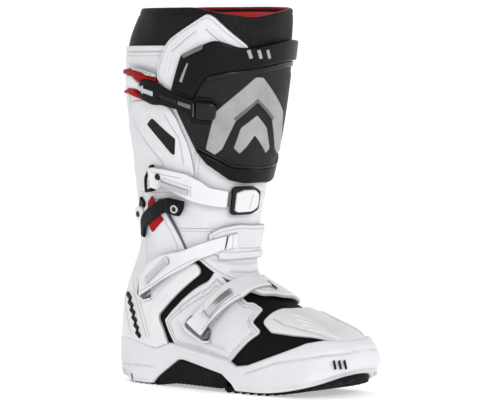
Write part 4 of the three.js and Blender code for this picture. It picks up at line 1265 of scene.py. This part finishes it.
# ---------- Buckles ----------
STRAP_THICKNESS, LEVER_THICKNESS, PIN_RADIUS = 2.6, 1.8, 1.3
buckles = {
    "1": {
        "chart": LEG_CHART, "level": 6.2, "front": "shin_flap", "look": "black",
        "strap": ([(-107, 304, 4), (-97, 298.7), (-92.5, 297), (-83, 297), (-69, 292.5), (-56, 286)],
                  [(-105, 324, 3), (-96.6, 323.4), (-87, 320), (-82, 316), (-75, 312), (-56, 303)]),
        "lever": ([(-107, 313.4), (-100, 309.6), (-90, 306)], [(-105.5, 319), (-100, 315), (-90, 311.8)]),
    },
    "2": {
        "chart": LEG_CHART, "level": 6.2, "front": "shin_flap", "look": "plastic",
        "strap": ([(-102, 211, 3), (-94, 209), (-86, 213), (-70, 205), (-54, 197), (-40, 193), (-27, 191)],
                  [(-104, 232, 5), (-97, 232.4), (-81, 231), (-61, 227), (-53, 222), (-48, 219),
                   (-42, 213), (-27, 209)]),
        "lever": ([(-88, 214), (-58, 204.5)], [(-88, 220), (-58, 210.5)]),
    },
    "3": {
        "chart": LEG_CHART, "level": 8.0, "front": "foot", "look": "plastic",
        "strap": ([(-114, 94, 2), (-96, 103), (-83, 110), (-54, 126), (-41, 137), (-24.2, 147, 0.4)],
                  [(-118, 116, 2), (-106, 131), (-88, 140), (-60, 146), (-41, 156), (-24.2, 163, 0.4)]),
        "lever": ([(-101, 107.5), (-71, 132)], [(-104, 113), (-75, 138)]),
    },
    "4": {
        "chart": FOOT_CHART, "level": 7.8, "front": "foot", "look": "plastic",
        "strap": ([(141, 27, 2), (150, 37), (169, 51), (182, 61), (185, 72), (189, 86, 1)],
                  [(116, 41, 2), (132, 50), (147, 60), (158, 70), (165, 78), (172, 88, 1)]),
        "lever": ([(151, 42), (172, 60)], [(144, 46), (165, 64)]),
    },
}


def add_buckle(number):
    b = buckles[number]
    chart, level = b["chart"], b["level"]
    strap_body, lever_body = f"strap_{number}_body", f"lever_{number}_body"
    cad_strap = {"1": ([(-105, 303), (-58, 285)], [(-104, 323), (-58, 301.5)]),
                 "2": ([(-105, 211), (-27, 191)], [(-105, 230), (-27, 208)]),
                 "3": ([(-114, 94), (-24, 147)], [(-118, 116), (-24, 163)]),
                 "4": ([(141, 27), (195, 85)], [(116, 41), (178, 87)])}[number]
    top = level + STRAP_THICKNESS
    slot = "black_plastic" if b["look"] == "black" else "white_plastic"
    panel(f"strap_{number}_moulded", chart, strip(*b["strap"]), level, top, looks[b["look"]], strap_body,
          slot,
          [f"strap_{number}"], edge=1.3, corner=2.5, lines=strap_lines(number),
          plateaus=strap_fields(number), grid=2.0)
    panel(f"lever_{number}_bar", chart, strip(*b["lever"]), top + 0.6, top + 0.6 + LEVER_THICKNESS,
          looks["steel"], lever_body, "steel", [f"lever_{number}"], edge=0.7, corner=1, grid=1.6)
    cross_pin(f"strap_pin_{number}_turned", chart, cad_strap, 1, 2.2, level + STRAP_THICKNESS / 2 - 0.6,
              0.8,
              b["front"], [f"strap_pin_{number}"], "dark_steel")
    pinned = ([(-102, 311), (-90, 306)], [(-102, 317), (-90, 312)]) if number == "1" else b["lever"]
    cross_pin(f"lever_pin_{number}_turned", chart, pinned, 0, -2.2, top + 0.6 + PIN_RADIUS, 1.4, strap_body,
              [f"lever_pin_{number}"])


def add_strap_end():
    """The sewn end of the third strap stays on the band: the strap folds along its edge."""
    end = [(-23.8, 147, 0.4), (-14, 149, 1), (-16, 165, 1), (-23.8, 163, 0.4)]
    panel("strap_3_sewn_end", LEG_CHART, end, 8.0, 8.0 + STRAP_THICKNESS, looks["plastic"], "foot",
          "white_plastic", edge=1.3, corner=1, grid=1.6, lines=[([(-19, 149), (-20, 163)], 0.5, 0.5)])


def strap_lines(number):
    return {
        "1": [([(-103, 318), (-84, 313.5), (-72, 304.5), (-60, 299)], 0.6, 0.5),
              ([(-101, 305), (-84, 299.5), (-72, 295), (-60, 288.5)], 0.6, 0.5)],
        "2": [([(-98, 228), (-84, 225.5), (-66, 222.5)], 0.6, 0.5),
              ([(-84, 222), (-70, 218), (-57, 213.5), (-56, 204)], 0.6, 0.5)],
        "3": [([(-112, 100), (-88, 110), (-60, 128), (-44, 138)], 0.7, 0.4),
              ([(-105, 116), (-78, 139), (-73, 136), (-72, 131)], 0.6, 0.5)],
        "4": [([(143, 33), (157, 46), (178, 61)], 0.7, 0.4), ([(124, 46), (140, 55), (141, 45)], 0.6, 0.5)],
    }[number]


def strap_fields(number):
    return {
        "1": [([(-103, 304), (-88, 298), (-84, 302), (-84, 315), (-90, 318), (-103, 320)], 0.8, 2.0)],
        "2": [([(-86, 222), (-66, 221), (-54, 218), (-54, 213), (-70, 217)], 0.8, 1.2)],
        "3": [],
        "4": [],
    }[number]


def add_buckles():
    for number in buckles:
        add_buckle(number)
    add_bases()
    add_adjusters()
    add_strap_details()
    add_strap_end()


def add_bases():
    upper = [(-133, 334, 2), (-125, 334.5), (-107, 331), (-100, 326.6), (-91, 324.5, 1), (-91, 320, 1),
             (-98, 319),
             (-105, 323), (-110, 320.5), (-115, 322.7), (-119.5, 328), (-133, 328, 2)]
    lower = [(-133, 312, 2), (-124.5, 314), (-116, 313.5), (-111, 309), (-103, 303, 1), (-109, 302.5),
             (-116, 304.5),
             (-126, 308), (-133, 308, 2)]
    panel("base_1_prongs", LEG_CHART, upper, 0.6, 5.4, looks["red"], "leg", "red_plastic", ["base_1"],
          more=[lower], edge=1.4, corner=1.5, grid=1.6)
    bump = [(-133, 329, 4), (-120, 327, 3), (-113, 321, 3), (-108, 318, 3), (-108, 311, 3), (-116, 312, 3),
            (-133, 313, 4)]
    panel("base_1_bump", LEG_CHART, bump, 0.2, 3.6, looks["plastic"], "leg", "white_plastic", edge=3,
          corner=4,
          grid=1.6)
    ladder = [(-118.5, 336.5), (-107, 334.8), (-91, 329.6), (-90.5, 325.2), (-101, 327), (-106, 330.3),
              (-118, 333)]
    panel("base_1_ladder", LEG_CHART, ladder, 3.2, 5.2, looks["steel"], "leg", "steel", edge=0.6,
          corner=0.8,
          grid=1.4)
    rows = [((-114 + 3.4 * k, 334.4 - 1.2 * k), 1.1, 1.0, -18, 5.0, 6.0) for k in range(6)]
    blocks(LEG_CHART, rows, looks["steel"], "base_1_teeth", "leg", "steel")
    clasp = [(-101, 232, 2), (-108, 220), (-109.5, 207, 3), (-103, 210, 3), (-100, 219), (-97.5, 226, 2)]
    panel("base_2_clasp", LEG_CHART, clasp, 3.8, 5.6, looks["steel"], "leg", "steel", ["base_2"], edge=0.8,
          corner=3, grid=1.6)
    rim = [(-102, 235, 3), (-111.5, 221, 4), (-112.5, 204.5, 3), (-102, 206.5, 2), (-102, 209.5, 1),
           (-109.5, 209.5, 2),
           (-109, 220, 3), (-101, 232.5, 1)]
    panel("base_2_rim", LEG_CHART, rim, 0.4, 6.2, looks["black"], "leg", "black_plastic", edge=0.6,
          corner=1.5,
          grid=1.4)
    panel("base_3_clasp", LEG_CHART, [(-120, 114, 2), (-122, 96), (-108, 91, 2), (-98, 94), (-104, 104),
                                      (-108, 117)],
          4.4, 7.0, looks["dark_steel"], "foot", "steel", ["base_3"], edge=1.0, corner=2, grid=1.6)
    panel("base_4_clasp", FOOT_CHART, [(112, 41, 3), (114, 35, 3), (142, 22, 3), (149, 24, 3), (150, 33),
                                       (120, 47)],
          4.4, 6.8, looks["dark_steel"], "foot", "steel", ["base_4"], edge=1.0, corner=2, grid=1.6)
    rim = [(109, 39, 3), (113, 33, 3), (141, 19, 3), (151, 20, 3), (151, 22.5, 2), (142, 22.5, 2),
           (115, 36.5, 2),
           (112, 40, 1)]
    panel("base_4_rim", FOOT_CHART, rim, 2.2, 7.8, looks["plastic"], "foot", "white_plastic", edge=0.7,
          corner=1.5, grid=1.4)
    rim = [(-122, 118, 2), (-125, 95, 3), (-110, 87.5, 3), (-96, 91, 2), (-97, 93.5, 1), (-109, 91, 2),
           (-121.5, 97, 2), (-119.5, 117, 1)]
    panel("base_3_rim", LEG_CHART, rim, 3.2, 7.6, looks["plastic"], "foot", "white_plastic", edge=0.7,
          corner=1.5, grid=1.4)


def add_adjusters():
    box = [(-55, 284), (-50, 281.6), (-46, 280.6, 3), (-41, 282.5, 4), (-40, 297, 4), (-44, 302, 4),
           (-50, 301.5),
           (-55, 303)]
    panel("adjuster_1_box", LEG_CHART, box, 4.6, 10.6, looks["gloss_black"], "shin_flap", "black_plastic",
          ["adjuster_1"], edge=3.4, corner=3, grid=1.4)
    foot_box = [(-61, 306, 2), (-47, 306, 3), (-37.5, 300, 4), (-37, 281, 4), (-44, 276.5, 3),
                (-59, 279, 2)]
    panel("adjuster_1_plinth", LEG_CHART, foot_box, 3.6, 5.6, looks["black"], "shin_flap", "black_plastic",
          edge=1.4, corner=2, grid=1.8)
    outer = [(-24, 211, 2), (-22, 213, 3), (-4, 213, 4), (5, 208, 4), (5, 188, 4), (-4, 183, 4),
             (-22, 183, 3),
             (-24, 186, 2)]
    panel("adjuster_2_frame", LEG_CHART, outer, 4.6, 7.4, looks["gloss_black"], "shin_flap",
          "black_plastic",
          ["adjuster_2"], edge=1.6, corner=3, grid=1.6)
    insert = [(-21, 188), (-18, 186), (-5, 186.5, 3), (1.5, 191, 3), (1.5, 205, 3), (-4, 210, 3),
              (-15, 210),
              (-21, 207)]
    panel("adjuster_2_insert", LEG_CHART, insert, 6.6, 9.6, looks["plastic"], "shin_flap", "white_plastic",
          edge=1.6, corner=2, grid=1.6, lines=[([(-8.5, 191), (-6.5, 204)], 0.7, 1.2)])
    band = [(-39, 163, 3), (-30, 170), (-15, 173.5), (0, 172), (30, 171), (60, 169), (84, 166, 6),
            (84, 146, 6),
            (60, 141), (30, 140.5), (6, 140), (-20, 139.5), (-31, 140.5, 3), (-35, 147)]
    band_level = lambda a, z: 6.8 - 1.6 * ease((a - 2) / 30)
    panel("adjuster_3_band", LEG_CHART, band, 3.4, band_level, looks["fine_leather"], "foot",
          "white_plastic", ["adjuster_3"], edge=2.2, corner=4, rims=[(4.2, 0.8, 0.5)],
          lines=[([(-12, 148), (8, 147), (40, 147), (70, 149)], 1.4, 0.6)])
    hem = [(-29, 146), (-20, 144.6), (6, 144.4), (40, 144.6), (40, 136.5), (6, 135.4), (-20, 134.8),
           (-27, 136)]
    panel("adjuster_3_hem", LEG_CHART, hem, 4.4, 8.0, looks["fine_leather"], "foot", "white_plastic",
          edge=2.6,
          corner=2.5, grid=1.8)
    pad = [(177, 69, 3), (193, 72.5, 4), (198, 83, 4), (203, 91), (203, 104), (200, 119, 5), (180, 120, 5),
           (162, 112, 4), (160, 98), (168, 84)]
    panel("adjuster_4_pad", FOOT_CHART, pad, 2.6, 6.6, looks["plastic"], "foot", "white_plastic",
          ["adjuster_4"], edge=2.4, corner=3, rims=[(4.4, 0.9, 0.6)], grid=1.8)
    end = [(181, 91, 1), (188, 90, 1), (186.5, 85), (170, 88, 1), (172, 93, 1)]
    panel("adjuster_4_slot", FOOT_CHART, end, 6.6, 8.2, looks["plastic"], "foot", "white_plastic", edge=0.8,
          corner=1, grid=1.4)


def add_strap_details():
    recess = [(-84, 305), (-69, 298.6), (-68.6, 303), (-84, 309)]
    panel("strap_1_slot", LEG_CHART, recess, 8.3, 9.1, looks["gloss_black"], "strap_1_body",
          "black_plastic",
          edge=0.3, corner=0.6, grid=1.6)
    inlay = [(-67.8, 298), (-58, 293.4), (-58, 297.8), (-67.8, 302)]
    panel("strap_1_inlay", LEG_CHART, inlay, 8.3, 9.3, looks["dark_silver"], "strap_1_body",
          "charcoal_plastic",
          edge=0.3, corner=0.6, grid=1.6)
    pivot = turned(*spot_on(LEG_CHART, (-90.5, 223), 8.2),
                   [(3.5, 0), (3.5, 1.2), (3.0, 1.8), (1.6, 1.8), (1.2, 1.2)])
    finish_piece("strap_2_pivot", *pivot[:2], looks["gloss_black"], "strap_2_body", "black_plastic",
                 uv=pivot[2],
                 sharp=40)
    rows = [((-99 + 3.1 * k, 96.5 + 2.05 * k), 1.1, 0.9, 34, 7.2, 8.8) for k in range(10)]
    blocks(LEG_CHART, rows, looks["steel"], "strap_3_teeth", "strap_3_body", "steel")
    rows = [((152 + 2.0 * k, 36.4 + 1.75 * k), 1.1, 0.8, 46, 7.0, 8.6) for k in range(10)]
    blocks(FOOT_CHART, rows, looks["steel"], "strap_4_teeth", "strap_4_body", "steel")


# ---------- Ankle brace ----------
def add_brace():
    arm = [(-62.5, 197.5, 2), (-80, 201, 2), (-90, 199.5), (-98, 196), (-108, 190), (-118, 183),
           (-123, 176),
           (-127, 159, 1), (-121, 157, 1), (-117, 168, 4), (-108, 174.2), (-96, 179.8, 4), (-88, 184.5),
           (-81.6, 185), (-77, 183.5), (-67, 181.5, 2), (-63, 189, 2)]
    lug = [(-64.5, 195.5), (-80, 199.5), (-82, 196), (-81.5, 184), (-70.5, 181), (-65, 187.5)]
    panel("brace_arm_moulded", LEG_CHART, arm, 5.8, 8.4, looks["black"], "ankle_brace", "black_plastic",
          ["brace_arm"], edge=1.3, corner=3, plateaus=[(lug, 0.9, 1.0)], grid=1.8,
          lines=[([(-86, 198), (-85, 184)], 1.0, 0.6),
                 ([(-119, 176), (-108, 181), (-96, 184), (-89, 187)], 0.8, 0.5)])
    spot, normal = spot_on(LEG_CHART, (-71, 190), 4.4)
    profile = [(2.6, 0), (2.6, 5), (4.6, 5), (4.6, 6.3), (4.2, 6.8), (2.7, 6.8), (2.3, 6.2), (2.3, 5.2)]
    points, faces, uv = turned(spot, normal, profile, 32)
    finish_piece("brace_screw_turned", points, faces, looks["steel"], "foot", "steel", ["brace_screw"], uv,
                 40)
    points, faces, uv = turned(spot + normal * 5.1, normal, [(2.2, 0), (2.2, 0.4), (1.3, 0.5)], 24)
    finish_piece("brace_screw_socket", points, faces, looks["gloss_black"], "foot", "black_plastic", uv=uv)
    points, faces, uv = turned(*spot_on(LEG_CHART, (-104, 184), 8.0),
                               [(2.4, 0), (2.4, 0.8), (1.8, 1.2), (1.0, 0.9)])
    finish_piece("brace_rivet", points, faces, looks["gloss_black"], "ankle_brace", "black_plastic", uv=uv)
    lug = [(-140, 188, 3), (-125, 190, 3), (-120, 187, 3), (-121, 178, 3), (-129, 173, 3), (-141, 175, 3)]
    panel("rear_lug", LEG_CHART, lug, 2.8, 5.2, looks["plastic"], "foot", "white_plastic", edge=2, corner=3,
          grid=1.6)
    points, faces, uv = turned(*spot_on(LEG_CHART, (-131, 181.5), 4.9),
                               [(3.1, 0), (3.1, 1.4), (2.5, 2), (1.2, 1.7)])
    finish_piece("rear_lug_pin", points, faces, looks["gloss_black"], "foot", "black_plastic", uv=uv)
    tab = [(-134, 188), (-127, 200, 1), (-121, 194), (-122, 188)]
    panel("rear_tab", LEG_CHART, tab, 0.8, 2.6, looks["black"], "foot", "black_plastic", edge=0.8, corner=1,
          grid=1.6)


# ---------- Stage, light, camera ----------
def add_stage():
    """A pale floor that curves up into a low wall all round."""
    ring = [(0.0, 0.0), (1.0, 0.0), (3.0, 0.0), (5.0, 0.0)]
    ring += [(5 + 2 * math.sin(a), 2 - 2 * math.cos(a)) for a in np.radians(np.linspace(6, 90, 16))]
    ring += [(7.0, 4.0)]
    sides = 96
    points, faces = [(0, 0, 0)], []
    for r, z in ring[1:]:
        points += [(r * math.cos(t), r * math.sin(t), z) for t in np.linspace(0, 2 * math.pi, sides,
                                                                              endpoint=False)]
    for i in range(sides):
        faces.append((0, 1 + i, 1 + (i + 1) % sides))
    for k in range(len(ring) - 2):
        for i in range(sides):
            a, b = 1 + k * sides + i, 1 + k * sides + (i + 1) % sides
            faces.append((a, a + sides, b + sides, b))
    mesh = bpy.data.meshes.new("floor")
    mesh.from_pydata(points, [], faces)
    mesh.polygons.foreach_set("use_smooth", [True] * len(mesh.polygons))
    mesh.materials.append(looks["floor"])
    floor = bpy.data.objects.new("floor", mesh)
    bpy.context.scene.collection.objects.link(floor)


def add_light(name, place, aim, size, power, color=(1, 1, 1)):
    light = bpy.data.lights.new(name, "AREA")
    light.shape = "RECTANGLE"
    light.size, light.size_y = size
    light.energy = power
    light.color = color
    obj = bpy.data.objects.new(name, light)
    obj.location = place
    obj.rotation_euler = (Vector(aim) - Vector(place)).to_track_quat("-Z", "Y").to_euler()
    obj.visible_camera = False
    bpy.context.scene.collection.objects.link(obj)


LENS_MM, SENSOR_MM, FAR_CLIP = 220.8, 36, 60
LOOK_AT_MM = (160, 0, 197)


def add_camera():
    look_at = (np.array(LOOK_AT_MM) + SHIFT) / 1000
    away, height, azimuth = 3.2, 0.345, math.radians(40)
    place = np.array([look_at[0] + math.sin(azimuth) * away, look_at[1] - math.cos(azimuth) * away, height])
    camera = bpy.data.cameras.new("camera")
    camera.lens, camera.sensor_width = LENS_MM, SENSOR_MM
    camera.clip_end = FAR_CLIP
    obj = bpy.data.objects.new("camera", camera)
    obj.location = place
    obj.rotation_euler = Vector(look_at - place).to_track_quat("-Z", "Y").to_euler()
    bpy.context.scene.collection.objects.link(obj)
    bpy.context.scene.camera = obj


WORLD_LIGHT = 0.36


def add_world():
    world = bpy.data.worlds.new("studio")
    world.use_nodes = True
    world.node_tree.nodes["Background"].inputs["Color"].default_value = (1, 1, 1, 1)
    world.node_tree.nodes["Background"].inputs["Strength"].default_value = WORLD_LIGHT
    bpy.context.scene.world = world
    bpy.context.scene.view_settings.view_transform = "Standard"


add_sole()
add_foot()
add_leg()
add_shin()
add_buckles()
add_brace()
add_stage()
add_light("key", (2.0, -1.1, 1.2), (0, 0, 0.2), (0.8, 0.8), 18)
add_light("top", (0.0, -0.3, 2.4), (0, 0, 0.2), (1.2, 1.2), 3)
add_light("rim", (0.9, 1.9, 1.2), (0, 0, 0.2), (0.7, 1.6), 5)
add_light("back", (-2.0, 0.9, 1.3), (0, 0, 0.2), (1.2, 1.4), 2)
add_camera()
add_world()
